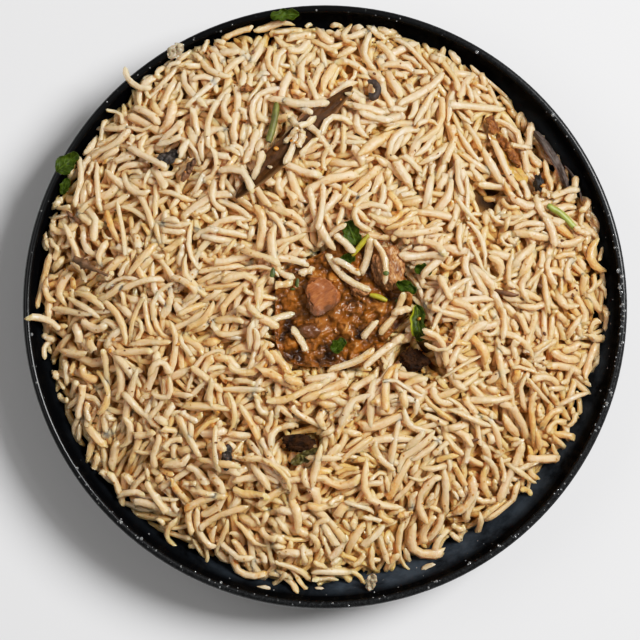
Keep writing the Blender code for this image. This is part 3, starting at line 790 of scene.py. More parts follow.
def pile_rice(field, rng, tries, limit, most, broken=False, stretch=1.0, thick=1.0):
    """Fill the heap up to a limit over its envelope: of some tries each grain takes the lowest lie."""
    grains, misses = [], 0
    along = np.linspace(-1, 1, GRAIN_RINGS)
    while misses < PATIENCE and len(grains) < most:
        angle = rng.uniform(-math.pi, math.pi, tries)
        spread = 2.5 * MM * (1 + 0.9 * np.sin(angle + 0.2))
        reach = (heap_outline(angle) + spread) * np.sqrt(rng.uniform(0, 1, tries))
        centre = HEAP_CENTRE[:, None] + reach * np.stack((np.cos(angle), np.sin(angle)))
        flow = math.pi * (1.0 + soft_noise(centre[0], centre[1], 20 * MM, 9))
        heading = flow + rng.normal(0, 0.7, tries)
        length, bend, sway, hook, radius, tone, stain, kind = draw_grain(rng)
        length, radius = length * stretch, radius * thick
        if broken:
            length, radius = rng.uniform(3.2, 8.5) * MM, 0.86 * radius
        paths, slope = lay_grains(field, centre, heading, length, bend, sway, hook, radius)
        over = paths[..., 2] + radius - envelope(paths[..., 0], paths[..., 1])
        score = over.mean(axis=1) + 0.25 * over.max(axis=1)
        for end in (-1, 1):  # now and then an end dips into the pile
            if rng.random() < 0.45:
                paths[..., 2] -= rng.uniform(0.6, 4.2) * MM * np.clip(along * end, 0, 1) ** 1.4
        roof = field.ceiling[field.index(paths[..., 0], paths[..., 1])]
        shut = (paths[..., 2] + 0.7 * radius > roof).any(axis=1)
        bound = PLATE_RADIUS - (0.5 if rng.random() < 0.03 else rng.uniform(1.8, 4.0)) * MM
        outside = np.hypot(paths[..., 0], paths[..., 1]).max(axis=1) > bound
        score[shut | outside | (slope > STEEPEST)] = np.inf
        best = int(score.argmin())
        if score[best] > limit:
            misses += 1
            continue
        misses = 0
        field.press(paths[best], radius)
        grains.append(Grain(kind, paths[best], radius, tone, stain))
    return grains


def scatter_grains(field, rng, x, y, outer, count, inner):
    """Drop grains inside a ring round a place (in mm), each on the lowest of a few lies."""
    grains = []
    for _ in range(count):
        angle = rng.uniform(-math.pi, math.pi, SCATTER_TRIES)
        reach = np.sqrt(rng.uniform((inner / outer) ** 2, 1, SCATTER_TRIES)) * outer * MM
        centre = np.array((x, y))[:, None] * MM + reach * np.stack((np.cos(angle), np.sin(angle)))
        length, bend, sway, hook, radius, tone, stain, kind = draw_grain(rng)
        heading = rng.uniform(0, math.pi, SCATTER_TRIES)
        paths, slope = lay_grains(field, centre, heading, length, bend, sway, hook, radius)
        shut = field.open[field.index(paths[..., 0], paths[..., 1])].any(axis=1)
        score = np.where((slope > STEEPEST) | shut, np.inf, paths[..., 2].mean(axis=1))
        best = int(score.argmin())
        if np.isfinite(score[best]):
            field.press(paths[best], radius)
            grains.append(Grain(kind, paths[best], radius, tone, stain))
    return grains


def place_grain(field, x0, y0, x1, y1, bend, tone, stain):
    """Lay one grain between two places given in mm."""
    a, b = np.array((x0, y0)) * MM, np.array((x1, y1)) * MM
    heading = np.array((math.atan2(b[1] - a[1], b[0] - a[0]),))
    length = float(np.hypot(*(b - a)))
    centre = ((a + b) / 2 + bend / 2 * np.array((a[1] - b[1], b[0] - a[0])))[:, None]
    paths, _ = lay_grains(field, centre, heading, length, bend, 0.02, 0.0, GRAIN_RADIUS, cap=3.5 * MM)
    field.press(paths[0], GRAIN_RADIUS)
    return Grain("blunt", paths[0], GRAIN_RADIUS, tone, stain)


def grain_form(kind):
    """Model one grain of a kind: a six-sided bar cut into rings, each ring drawn to its size."""
    bar = ringed_bar("grain_" + kind, GRAIN_RINGS, GRAIN_SIDES)
    for k in sorted(range(GRAIN_RINGS), key=lambda k: -abs(k - GRAIN_RINGS // 2)):
        cut_at, size = -1 + 2 * k / (GRAIN_RINGS - 1), KINDS[kind][k]
        pick(bar, lambda co: abs(co.z - cut_at) < 0.004)
        bpy.ops.transform.resize(value=(size, size, 1), center_override=(0, 0, cut_at))
        bpy.ops.transform.translate(value=(0, 0, RING_PLACES[k] - cut_at))
    for end in (-1, 1):
        pick(bar, lambda co: co.x**2 + co.y**2 < 1e-6 and co.z * end > 0.5)
        bpy.ops.transform.translate(value=(0, 0, end * END_BULGE))
    if kind == "split":
        pick(bar, lambda co: co.z > 0.97 and abs(co.x) < 0.3)
        bpy.ops.transform.translate(value=(0, 0, -0.06))
    done()
    return bar


def joined_grains(name, grains, form, finish, rng):
    """Copy a modelled grain along every path into one mesh, and store its tone and stain, and its depth in
    the pile and its lower sides, where painted shade and painted light go.
    """
    points = np.array([vert.co for vert in form.data.vertices])
    paths = np.array([g.path for g in grains])
    paths = paths + rng.normal(0, 0.11 * MM, paths.shape)
    ring_at = np.clip((points[:, 2] + 1) / 2, 0, 1) * (GRAIN_RINGS - 1)
    low = np.minimum(ring_at.astype(int), GRAIN_RINGS - 2)
    part = (ring_at - low)[None, :, None]
    ahead = np.gradient(paths, axis=1)
    ahead /= np.linalg.norm(ahead, axis=2, keepdims=True)
    aside = np.cross((0, 0, 1.0), ahead)
    aside /= np.linalg.norm(aside, axis=2, keepdims=True)
    middle, forward, side, up = (
        values[:, low] * (1 - part) + values[:, low + 1] * part
        for values in (paths, ahead, aside, np.cross(ahead, aside))
    )
    radius = np.array([g.radius for g in grains])[:, None, None]
    roll = rng.uniform(0, math.pi, (len(grains), 1))
    lumpy = 1 + 0.09 * rng.normal(size=(len(grains), len(points)))
    ring = np.abs(points[:, 2][:, None] - np.array(RING_PLACES)[None, :]).argmin(axis=1)
    lumpy = lumpy * (1 + 0.06 * rng.normal(size=(len(grains), GRAIN_RINGS)))[:, ring]
    flat = rng.uniform(0.68, 1.0, (len(grains), 1))
    cx = (points[:, 0] * np.cos(roll) - points[:, 1] * np.sin(roll) * flat) * lumpy
    cy = (points[:, 0] * np.sin(roll) + points[:, 1] * np.cos(roll) * flat) * lumpy
    past = (points[:, 2] - np.clip(points[:, 2], -1, 1))[None, :, None] / END_BULGE * 0.35
    slant = rng.normal(0, 0.75, (2, len(grains), 2))
    for end, cut in zip((-1, 1), slant):
        near = np.clip((points[:, 2] * end - 0.86) / 0.14, 0, 1)[None, :]
        past = past + (near * (cx * cut[:, :1] + cy * cut[:, 1:]))[:, :, None]
    places = middle + radius * (cx[:, :, None] * side + 0.88 * cy[:, :, None] * up + past * forward)
    rise = ((places - middle)[..., 2] / radius[..., 0]).reshape(-1)
    x, y, z = places.reshape(-1, 3).T
    ends = np.clip((np.abs(points[:, 2] + 0.2) - 0.15) * 1.6, 0, 1)
    rice = joined(name, places, [tuple(face.vertices) for face in form.data.polygons])
    store(
        rice,
        tone=np.repeat([g.tone for g in grains], len(points)),
        stain=(np.array([g.stain for g in grains])[:, None] * ends[None, :]).reshape(-1),
        # depth under the top of the pile, for the painted orange bounce light and painted brown shade there
        deep=np.clip((envelope(x, y) - z - 0.5 * MM) / (5 * MM), 0, 1) * 0.8,
        # painted light: how far down a grain's side a point lies, where brighter golden colour is painted
        flank=np.clip((0.6 - rise) / 1.1, 0, 1) * 0.85,
    )
    return finish_piece(rice, finish, "rice", "rice", smooth=80)


def make_core(finish):
    """The heap below its loose grains: a round grid drawn up into a mound over the well."""
    core = disc_solid("rice_core")
    hollow = []
    for vert, _, x, y in spread_out(core, HEAP_CENTRE, lambda angle: heap_outline(angle) - CORE_INSET):
        low = float(well_height(x, y)) + 0.5 * MM
        top = float(heap_height(x, y)) - CORE_DEPTH + 1.2 * MM * noise.noise(Vector((x, y, 0)) / (3 * MM))
        vert.co = (x, y, low if vert.co.z < -0.5 else max(top, low + 0.6 * MM))
        shares = [math.hypot(x / MM - hx, y / MM - hy) / radius for hx, hy, radius, _ in HOLLOWS]
        hollow.append(math.exp(-(min(shares) ** 4)))
    # where painted shade turns the core nearly black
    store(core, hollow=hollow)
    return finish_piece(core, finish, "rice", "rice", smooth=180)


# ---------------------------------------------------------------- toppings
def pebbles(x, y, size, seed=0.0):
    """Rounded lumps of about a given size, from 0 between them to about 1 on top."""
    distances, _ = noise.voronoi(Vector((x / size, y / size, seed)))
    return max(1 - distances[0] ** 2 * 1.6, 0.0)


def make_masala(finish):
    """Thick lumpy sauce lying in the middle of the heap."""
    pad = disc_solid("masala_sauce")
    raised = [0.0] * len(pad.data.vertices)
    for vert, share, x, y in spread_out(pad, MASALA_CENTRE, masala_outline):
        base = float(heap_height(x, y))
        if vert.co.z < -0.5:
            z = base - MASALA_DEPTH * (1 - 0.6 * share**2)
        else:
            at = Vector((x, y, 0)) / MM
            bent = at + 1.6 * Vector((noise.noise(at / 2.6), noise.noise(at / 2.6 + Vector((7, 3, 0))), 0))
            lump = 1.6 * noise.noise(at / 5.5) + 1.5 * (pebbles(bent.x, bent.y, 4.2) - 0.6)
            lump += 0.8 * (pebbles(bent.x, bent.y, 1.9, 3) - 0.5)
            lump += 0.25 * noise.noise(at / 0.9 + Vector((0, 0, 5)))
            ring = math.exp(-(((math.hypot(x / MM + 0.7, y / MM - 1.5) - 8.0) / 1.8) ** 2))
            lump += ring * (0.6 + 1.2 * noise.noise(at / 3.1))
            z = base + 0.7 * MM * (1 - share**2) + lump * MM
            # painted shade: lower places are marked for darker colour
            raised[vert.index] = min(max(0.5 + 0.28 * lump, 0), 1)
        vert.co = (x, y, z)
    store(pad, raised=raised)
    return finish_piece(pad, finish, "masala", "masala", smooth=180)


def make_lump(name, solid, slot, finish, rough, seed, cuts=5, fibre=0.0, heading=0.0, corner=None):
    """A ball drawn to a solid's box, uneven and if wanted drawn into fibres along a heading."""
    low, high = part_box(solid)
    deselect()
    bpy.ops.mesh.primitive_ico_sphere_add(subdivisions=cuts, radius=1, location=(0, 0, 0))
    lump = named(name)
    along = Vector((math.cos(math.radians(heading)), math.sin(math.radians(heading)), 0))
    shift = Vector((seed, seed, 0))
    for vert in lump.data.vertices:
        co = vert.co.copy()
        swell = 1 + rough * noise.noise(co * 1.5 + shift) + 0.45 * rough * noise.noise(co * 3.7 + shift)
        if fibre:
            squeezed = co - along * (co.dot(along) * 0.82)
            swell += fibre * abs(noise.noise(squeezed * 6.5 + shift)) - 0.3 * fibre
            swell += 0.5 * fibre * noise.noise(squeezed * 13 + shift)
        if corner is not None:  # three rounded corners and a flat top
            turn = math.atan2(co.y, co.x) - math.radians(corner)
            swell *= 1 + 0.12 * math.cos(3 * turn) * math.hypot(co.x, co.y)
            steep = (1 - min(co.z**4, 0.97)) ** 0.25 / (1 - min(co.z**2, 0.97)) ** 0.5
            co.x, co.y = (c * min(steep, 1.6) for c in (co.x, co.y))
            co.z = min(co.z, 0.62 + 0.18 * (co.z - 0.62) + 0.08 * co.x)
        vert.co = co * swell
    least = [min(v.co[i] for v in lump.data.vertices) for i in range(3)]
    most = [max(v.co[i] for v in lump.data.vertices) for i in range(3)]
    for vert in lump.data.vertices:
        share = [(vert.co[i] - least[i]) / (most[i] - least[i]) for i in range(3)]
        vert.co = Vector([low[i] + share[i] * (high[i] - low[i]) for i in range(3)])
    return finish_piece(lump, finish, slot, solid, smooth=180)


def lift_onto(obj, solid):
    """How far up a piece has to move to lie at its solid's height."""
    low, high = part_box(solid)
    heights = [v.co.z for v in obj.data.vertices]
    return (low.z + high.z) / 2 - (min(heights) + max(heights)) / 2


def leaf_width(t, blunt, lobes):
    """Half width of a leaf along its length, as a share of the widest."""
    body = max(math.sin(math.pi * min(max(t, 0.0), 1.0)), 0.0) ** blunt
    return max(body * (1 + (0.22 * math.sin(2 * math.pi * lobes * t) if lobes else 0)), 0.1)


def make_sheet(name, solid, slot, finish, spot, heading, length, width, cuts=16, lobes=0, blunt=0.55,
               cup=0.0, wave=0.4, bend=0.0, rough=0.0, tilt=None, fold=0.0, ragged=0.0, lift=0.0,
               thickness=0.3):
    """A thin leaf, strip or husk: a square sheet cut fine, drawn to an outline, curled, laid
    over the heap and given thickness. Lengths are in mm."""
    deselect()
    bpy.ops.mesh.primitive_plane_add(size=1, location=(0, 0, 0))
    sheet = named(name)
    edit()
    bpy.ops.mesh.select_all(action="SELECT")
    bpy.ops.mesh.subdivide(number_cuts=cuts)
    done()
    turn = math.radians(heading)
    ahead, aside = Vector((math.cos(turn), math.sin(turn))), Vector((-math.sin(turn), math.cos(turn)))
    for vert in sheet.data.vertices:
        t, v = vert.co.x + 0.5, vert.co.y * 2
        u = 2 * t - 1
        edge = 1 + ragged * noise.noise(Vector((t * 5, round(v), length)))
        y = v * leaf_width(t, blunt, lobes) * width / 2 * edge
        x = u * length / 2
        flat = Vector(spot) + ahead * x + aside * (y + bend * length * (1 - u * u))
        ground = float(heap_height(flat.x * MM, flat.y * MM)) / MM if tilt is None else x * tilt
        z = ground + wave * math.sin(3.2 * u + 2 * v + length) + cup * v * v + fold * abs(v)
        at = Vector((flat.x, flat.y, length))
        z += rough * noise.noise(at * 0.9) + 0.5 * rough * noise.noise(at * 2.1)
        vert.co = (flat.x * MM, flat.y * MM, (z + lift) * MM)
    shell = sheet.modifiers.new("thickness", "SOLIDIFY")
    shell.thickness, shell.offset = thickness * MM, 0
    activate(sheet)
    bpy.ops.object.modifier_apply(modifier=shell.name)
    if solid:
        rise = lift_onto(sheet, solid)
        for vert in sheet.data.vertices:
            vert.co.z += rise
    return finish_piece(sheet, finish, slot, *([solid] if solid else []), smooth=70)


def make_sheets(slot, finish, ending, rows, **shape):
    """Like sheets, from rows of solid, place, heading, length, width and what is a piece's own."""
    return [
        make_sheet(solid + ending, solid, slot, finish, *place, **shape, **(own[0] if own else {}))
        for solid, *place, own in ((*row[:5], row[5:]) for row in rows)
    ]


def smooth_path(points, count):
    """Even points along a bent line through a few given points (Catmull-Rom)."""
    points = [Vector(p) for p in points]
    line = [2 * points[0] - points[1]] + points + [2 * points[-1] - points[-2]]
    spans = len(points) - 1
    out = []
    for n in range(count):
        k = min(int(n * spans / (count - 1)), spans - 1)
        t = n * spans / (count - 1) - k
        a, b, c, d = line[k:k + 4]
        out.append(0.5 * (2 * b + (c - a) * t + (2 * a - 5 * b + 4 * c - d) * t * t
                          + (3 * b - a - 3 * c + d) * t**3))
    return out


def make_bar(name, solid, slot, finish, spots, radii, count=14, sides=10, crown=0.0, rough=0.0):
    """A stalk or twig through places given in mm, laid at its solid's height."""
    points = [Vector((x, y, 0)) * MM for x, y in spots]
    for point in points:
        point.z = float(heap_height(point.x, point.y))
    path = smooth_path(points, count)
    radii = np.interp(np.linspace(0, 1, count), np.linspace(0, 1, len(radii)), radii) * MM
    bar = ringed_bar(name, count, sides)
    done()
    for vert in bar.data.vertices:
        k = int(round((vert.co.z + 1) / 2 * (count - 1)))
        ahead = (path[min(k + 1, count - 1)] - path[max(k - 1, 0)]).normalized()
        turn = ahead.to_track_quat("X", "Z").to_matrix()
        lobes = crown if radii[k] == max(radii) else 0.0
        lobe = 1 + lobes * math.cos(4 * math.atan2(vert.co.y, vert.co.x))
        spoke = Vector((0, vert.co.x, vert.co.y)) * float(radii[k]) * lobe
        if spoke.length < 1e-9:  # the middle of an end
            spoke.x = 0.3 * radii[k] * (1 if vert.co.z > 0 else -1)
        vert.co = path[k] + turn @ spoke
    rise = lift_onto(bar, solid)
    for vert in bar.data.vertices:
        at = vert.co / (1.2 * MM)
        shake = Vector((noise.noise(at), noise.noise(at + Vector((9, 0, 0))), noise.noise(at.yzx)))
        vert.co += rough * MM * shake
        vert.co.z += rise
    return finish_piece(bar, finish, slot, solid, smooth=70)


def make_chicken():
    """Chicken in the masala, and meat deep in two hollows of the heap, painted near black for the shade
    there.
    """
    wet = {"Coat_Weight": 0.3, "Coat_Roughness": 0.25}
    smooth = mottled(
        "chicken_smooth", 0.42,
        ((0.3, 0.15, 0.038, 0.005), (0.5, 0.32, 0.096, 0.017), (0.72, 0.48, 0.17, 0.040)),
        620.0, 0.7, (5, 1, 1), -35, (-0.8, 4.6, 5.9), **wet,
    )
    pulled = mottled(
        "chicken_fibres", 0.5,
        ((0.36, 0.09, 0.026, 0.003), (0.5, 0.35, 0.135, 0.030), (0.64, 0.66, 0.32, 0.13)),
        520.0, 1.5, (4, 1, 1), 65, **wet,
    )
    # painted shade: the meat in the hollows is painted near black
    brown = mottled(
        "chicken_in_painted_shade", 0.65, ((0.38, 0.005, 0.0015, 0.0003), (0.72, 0.065, 0.021, 0.003)),
        420.0, 1.4, Specular_IOR_Level=0.12,
    )
    return [make_lump("chunk_" + name, "chicken_" + name, slot, *shape) for name, slot, *shape in (
        ("main", "chicken", smooth, 0.24, 3, 5, 0.07, -35, 125),
        ("pulled", "chicken", pulled, 0.34, 8, 5, 0.22, 65),
        ("lobe", "chicken", smooth, 0.25, 5, 4, 0.06, 30),
        ("shred", "chicken", pulled, 0.3, 6, 4, 0.2, 25),
        ("side", "chicken_deep", brown, 0.5, 9, 5, 0.3, 20),
        ("low", "chicken_deep", brown, 0.5, 12, 5, 0.3, 10),
    )]


def make_leaves():
    """Bay leaf, chopped coriander, green stalks and yellow-green stems."""
    bay = leaf_material(
        "bay_leaf", 0.6, (0.030, 0.010, 0.0012), (0.095, 0.034, 0.006), (0.060, 0.022, 0.004), 5,
        (0.24, 0.13, 0.05), 0.07,
    )
    herb = leaf_material(
        "coriander", 0.5, (0.016, 0.030, 0.0006), (0.05, 0.085, 0.002), (0.075, 0.12, 0.008), 4
    )
    fold = leaf_material(
        "coriander_fold", 0.45, (0.016, 0.030, 0.001), (0.055, 0.085, 0.004), (0.12, 0.16, 0.008), 5,
        (0.42, 0.42, 0.015),
    )
    clear = {"Subsurface_Weight": 0.2, "Subsurface_Scale": 0.6 * MM}
    green = mottled(
        "green_stalk", 0.4, ((0.3, 0.16, 0.19, 0.02), (0.7, 0.36, 0.42, 0.09)),
        300, 0.3, (1, 5, 1), **clear,
    )
    dull = mottled("green_stalk_dull", 0.5, ((0.3, 0.06, 0.055, 0.006), (0.7, 0.20, 0.21, 0.035)), 500, 0.4)
    yellow = mottled(
        "yellow_stem", 0.38, ((0.3, 0.24, 0.20, 0.008), (0.7, 0.50, 0.42, 0.03)),
        300, 0.3, (5, 1, 1), 20, **clear,
    )
    pieces = [make_sheet(
        "bay_leaf_dry", "bay_leaf", "bay_leaf", bay, (-10.5, 55.5), 44.5, 56, 8.2,
        cuts=34, wave=0.8, cup=1.1, ragged=0.12, rough=0.5,
    )]
    pieces += make_sheets("coriander", herb, "_cut", (
        ("herb_top", (9.1, 24.0), 112, 8.4, 5.4),
        ("herb_inner", (7.8, 15.2), 20, 5.0, 3.4),
        ("herb_right_a", (33.6, 11.4), -8, 6.0, 3.6),
        ("herb_right_b", (27.7, 5.4), -25, 7.4, 3.4),
        ("herb_low", (4.6, -14.4), 50, 5.8, 4.0, {"lobes": 1}),
    ), cup=1.2, blunt=0.25, ragged=0.5, rough=0.5)
    pieces += make_sheets("coriander", fold, "_cut", (
        ("herb_fold", (31.9, -6.8), -84, 12.5, 5.6),
    ), blunt=0.3, ragged=0.45, fold=1.3, cup=-0.4, rough=0.5)
    pieces += make_sheets("coriander", herb, "_cut", (
        ("herb_lip_left", (-89.6, 49.6), 38, 9.6, 6.0, {"lobes": 1, "tilt": 0.1}),
        ("herb_wall_left", (-90.6, 41.6), 70, 6.0, 3.2, {"tilt": 0.0}),
        ("herb_lip_top", (-14.0, 101.2), 4, 10, 4.0, {"lobes": 3, "tilt": 0.0}),
    ), blunt=0.4, ragged=0.35, rough=0.6, cup=0.5)
    thick, thin = (1.0, 1.25, 1.28, 1.25, 1.1), (0.6, 0.95, 1.0, 0.95, 0.6)
    for solid, finish, spots, radii, rough in (
        ("stalk_left", dull, ((-16.6, 69.3), (-17.6, 62.5), (-19.4, 55.5)), thick, 0.25),
        ("stalk_right", green, ((77.2, 34.6), (82.3, 31.4), (86.6, 27.1)), thick, 0.25),
        ("stem_top", yellow, ((14.8, 23.3), (12.6, 20.4), (9.3, 16.2)), thin, 0.0),
        ("stem_mid", yellow, ((15.3, 2.9), (18.2, 2.2), (21.1, 0.9)), thin, 0.0),
    ):
        pieces.append(make_bar(solid + "_cut", solid, "green_stalk", finish, spots, radii, rough=rough))
    return pieces


def make_spices():
    """Bark, clove, husks, burnt bits, and onion both fried and soft."""
    bark = leaf_material(
        "bark", 0.5, (0.045, 0.032, 0.027), (0.13, 0.10, 0.085), (0.10, 0.07, 0.055), 0,
        (0.15, 0.045, 0.012), 0.35,
    )
    stem, dry, clove, olive = (mottled(*row) for row in (
        ("dry_stem", 0.6, ((0.3, 0.035, 0.014, 0.006), (0.7, 0.26, 0.12, 0.05)), 350, 0.7, (5, 1, 1), 62),
        ("dry_curl", 0.6, ((0.3, 0.012, 0.006, 0.004), (0.7, 0.07, 0.042, 0.028)), 600, 0.5),
        ("clove", 0.6, ((0.3, 0.05, 0.02, 0.008), (0.7, 0.24, 0.12, 0.045)), 500, 0.5, (4, 1, 1), -30),
        ("cardamom", 0.5, ((0.3, 0.04, 0.03, 0.004), (0.7, 0.17, 0.14, 0.025)), 400, 0.6, (6, 1, 1), 25),
    ))
    fried = mottled(
        "fried_onion", 0.42,
        ((0.34, 0.07, 0.016, 0.001), (0.52, 0.30, 0.10, 0.014), (0.72, 0.56, 0.25, 0.05)),
        620.0, 1.3, Coat_Weight=0.15, Coat_Roughness=0.25,
    )
    soft = mottled(
        "soft_onion", 0.35, ((0.3, 0.26, 0.20, 0.12), (0.7, 0.52, 0.43, 0.29)), 350.0, 0.4,
        Subsurface_Weight=0.4, Subsurface_Scale=0.6 * MM, Coat_Weight=0.2, Coat_Roughness=0.2,
    )
    husk = mottled(
        "dark_husk", 0.4,
        ((0.36, 0.006, 0.004, 0.003), (0.54, 0.035, 0.024, 0.018), (0.68, 0.19, 0.16, 0.14)),
        600.0, 1.3, (3, 1, 1), 20,
    )
    burnt = mottled(
        "burnt", 0.55,
        ((0.45, 0.003, 0.002, 0.0015), (0.62, 0.02, 0.009, 0.004), (0.75, 0.28, 0.10, 0.02)), 420, 0.8,
    )
    flesh = mottled(
        "golden_onion", 0.25, ((0.3, 0.42, 0.20, 0.035), (0.7, 0.66, 0.38, 0.10)), 260.0, 0.3,
        Subsurface_Weight=0.6, Subsurface_Scale=0.8 * MM, Coat_Weight=0.6, Coat_Roughness=0.15,
    )
    pieces = [make_sheet(
        "bark_trough", "bark_curl", "bark", bark, (79.0, 51.4), -60, 23.0, 2.8, cuts=26,
        cup=-0.7, thickness=0.5, bend=0.05, wave=0.5, blunt=0.3, tilt=0.0, ragged=0.3, rough=0.7,
    ), make_sheet(
        "bark_edge", "bark_curl", "bark", bark, (86.8, 43.0), -64, 14.0, 0.8, cuts=18,
        cup=-0.3, thickness=0.35, bend=0.08, wave=0.3, blunt=0.3, tilt=0.0, ragged=0.5, rough=0.8,
    )]
    pieces += make_sheets("fried_onion", fried, "_fried", (
        ("onion_top", (58.3, 62.2), 112, 7.0, 3.0),
        ("onion_strip", (64.0, 53.9), -56, 13.2, 2.3),
    ), blunt=0.2, thickness=1.3, wave=0.6, ragged=0.7, rough=1.8, cuts=22)
    pieces.append(make_sheet(
        "onion_flesh", None, "fried_onion", flesh, (63.6, 52.0), -57, 23, 5.4,
        blunt=0.3, thickness=0.5, wave=0.5, ragged=0.3, rough=0.9, lift=0.6,
    ))
    pieces += make_sheets("soft_onion", soft, "_soft", (
        ("onion_lip", (-52.0, 88.6), 40, 6.6, 4.6, {"tilt": 0.0}),
        ("onion_wall", (16.0, -96.0), 75, 6.0, 3.6, {"tilt": 0.3}),
    ), blunt=0.4, thickness=0.6, ragged=0.5, rough=0.9)
    for slot, finish, *row in (
        ("dark_spice", husk, "husk_left", (-54.0, 50.6), 20, 9.4, 4.2),
        ("dark_spice", stem, "husk_stem", (-47.0, 46.0), 60, 9.0, 2.2),
        ("dark_spice", husk, "husk_low", (-33.6, -52.7), 84, 8.8, 3.2),
        ("cardamom", olive, "cardamom", (-6.6, -52.4), 25, 11.0, 3.4),
    ):
        pieces += make_sheets(
            slot, finish, "_dry", (row,), blunt=0.35, thickness=0.6, cup=-1.0, ragged=0.5, rough=1.5,
            cuts=20,
        )
    pieces += [
        make_lump("burnt_crumb", "burnt_bit", "burnt_spice", burnt, 0.5, 4, 4, 0.2, 80),
        make_lump("brown_crumb", "brown_bit", "fried_onion", fried, 0.5, 7, 4, 0.2, 20),
    ]
    hook = []
    for k in range(8):
        turn, reach = math.radians(36 * k - 130), 1.6 + 0.16 * k
        hook.append((16.1 + reach * math.cos(turn), 73.7 + 1.25 * reach * math.sin(turn)))
    pieces.append(make_bar(
        "spice_hook", "spice_curl", "dark_curl", dry, hook, (0.6, 1.2, 1.3, 0.9, 1.1, 1.3, 1.0, 0.5),
        26, rough=0.6,
    ))
    pieces.append(make_bar(
        "clove_bud", "clove", "clove", clove, ((-74.6, 9.6), (-80.5, 12.6), (-86.7, 16.0)),
        (0.3, 0.5, 0.55, 0.65, 0.8, 1.0, 1.1, 1.9, 1.3, 1.3, 0.9), 22, 12, rough=0.25, crown=0.3,
    ))
    return pieces


# ---------------------------------------------------------------- small things
def small_form(name):
    """A ball with few faces, for crumbs and drops."""
    deselect()
    bpy.ops.mesh.primitive_uv_sphere_add(segments=8, ring_count=5, radius=1, location=(0, 0, 0))
    return named(name)


def joined_copies(name, form, spots, finish, slot, rng=None):
    """Copies of a form as one mesh; each spot is a place, three half sizes and a turn, in mm."""
    points = np.array([vert.co for vert in form.data.vertices])
    places = []
    for spot, size, turn in spots:
        uneven = points * (1 + rng.normal(0, 0.16, (len(points), 1))) if rng else points
        cos, sin = math.cos(turn), math.sin(turn)
        laid = uneven * np.array(size) @ np.array(((cos, sin, 0), (-sin, cos, 0), (0, 0, 1)))
        places.append((np.array(spot) + laid) * MM)
    copies = joined(name, np.array(places), [tuple(face.vertices) for face in form.data.polygons])
    return finish_piece(copies, finish, slot, smooth=70)


def make_drops(rng):
    """Drops of water and fat on the lip and on the slope inside it."""
    wet = Surface("drops", 0.06, Transmission_Weight=0.8, IOR=1.4)
    patch = wet.noise(wet.place, 300, 2)
    # the pale milky colour is partly starch in the water and partly a painted highlight that makes the
    # drops show bright
    wet.feed("Base Color", wet.ramp(patch, (0.3, 0.75, 0.78, 0.80), (0.7, 0.9, 0.9, 0.88)))
    wet.feed("Roughness", wet.level(patch, 0.3, 0.7, 0.02, 0.15))
    lip = LIP_RADIUS / MM
    spots = []
    for low, high, count in ((-25, 12, 70), (-75, 40, 120), (-150, -75, 80), (35, 200, 60)):
        for _ in range(count):
            angle = math.radians(rng.uniform(low, high))
            size = float(np.clip(rng.lognormal(-1.3, 0.5), 0.12, 0.8))
            if rng.random() < 0.7:
                around = math.radians(rng.uniform(70, 150))
                r = PLATE_RADIUS / MM - lip + lip * math.cos(around)
                z = RIM_HEIGHT / MM - lip + lip * math.sin(around)
            else:
                r = rng.uniform(93, 101.5)
                z = float(well_height(r * MM, 0)) / MM
            spot = (r * math.cos(angle), r * math.sin(angle), z)
            spots.append((spot, (size, size * rng.uniform(0.7, 1.0), 0.45 * size), angle))
    form = small_form("drop")
    joined_copies("water_drops", form, spots, wet.mat, "black_glaze")
    bpy.data.objects.remove(form, do_unlink=True)


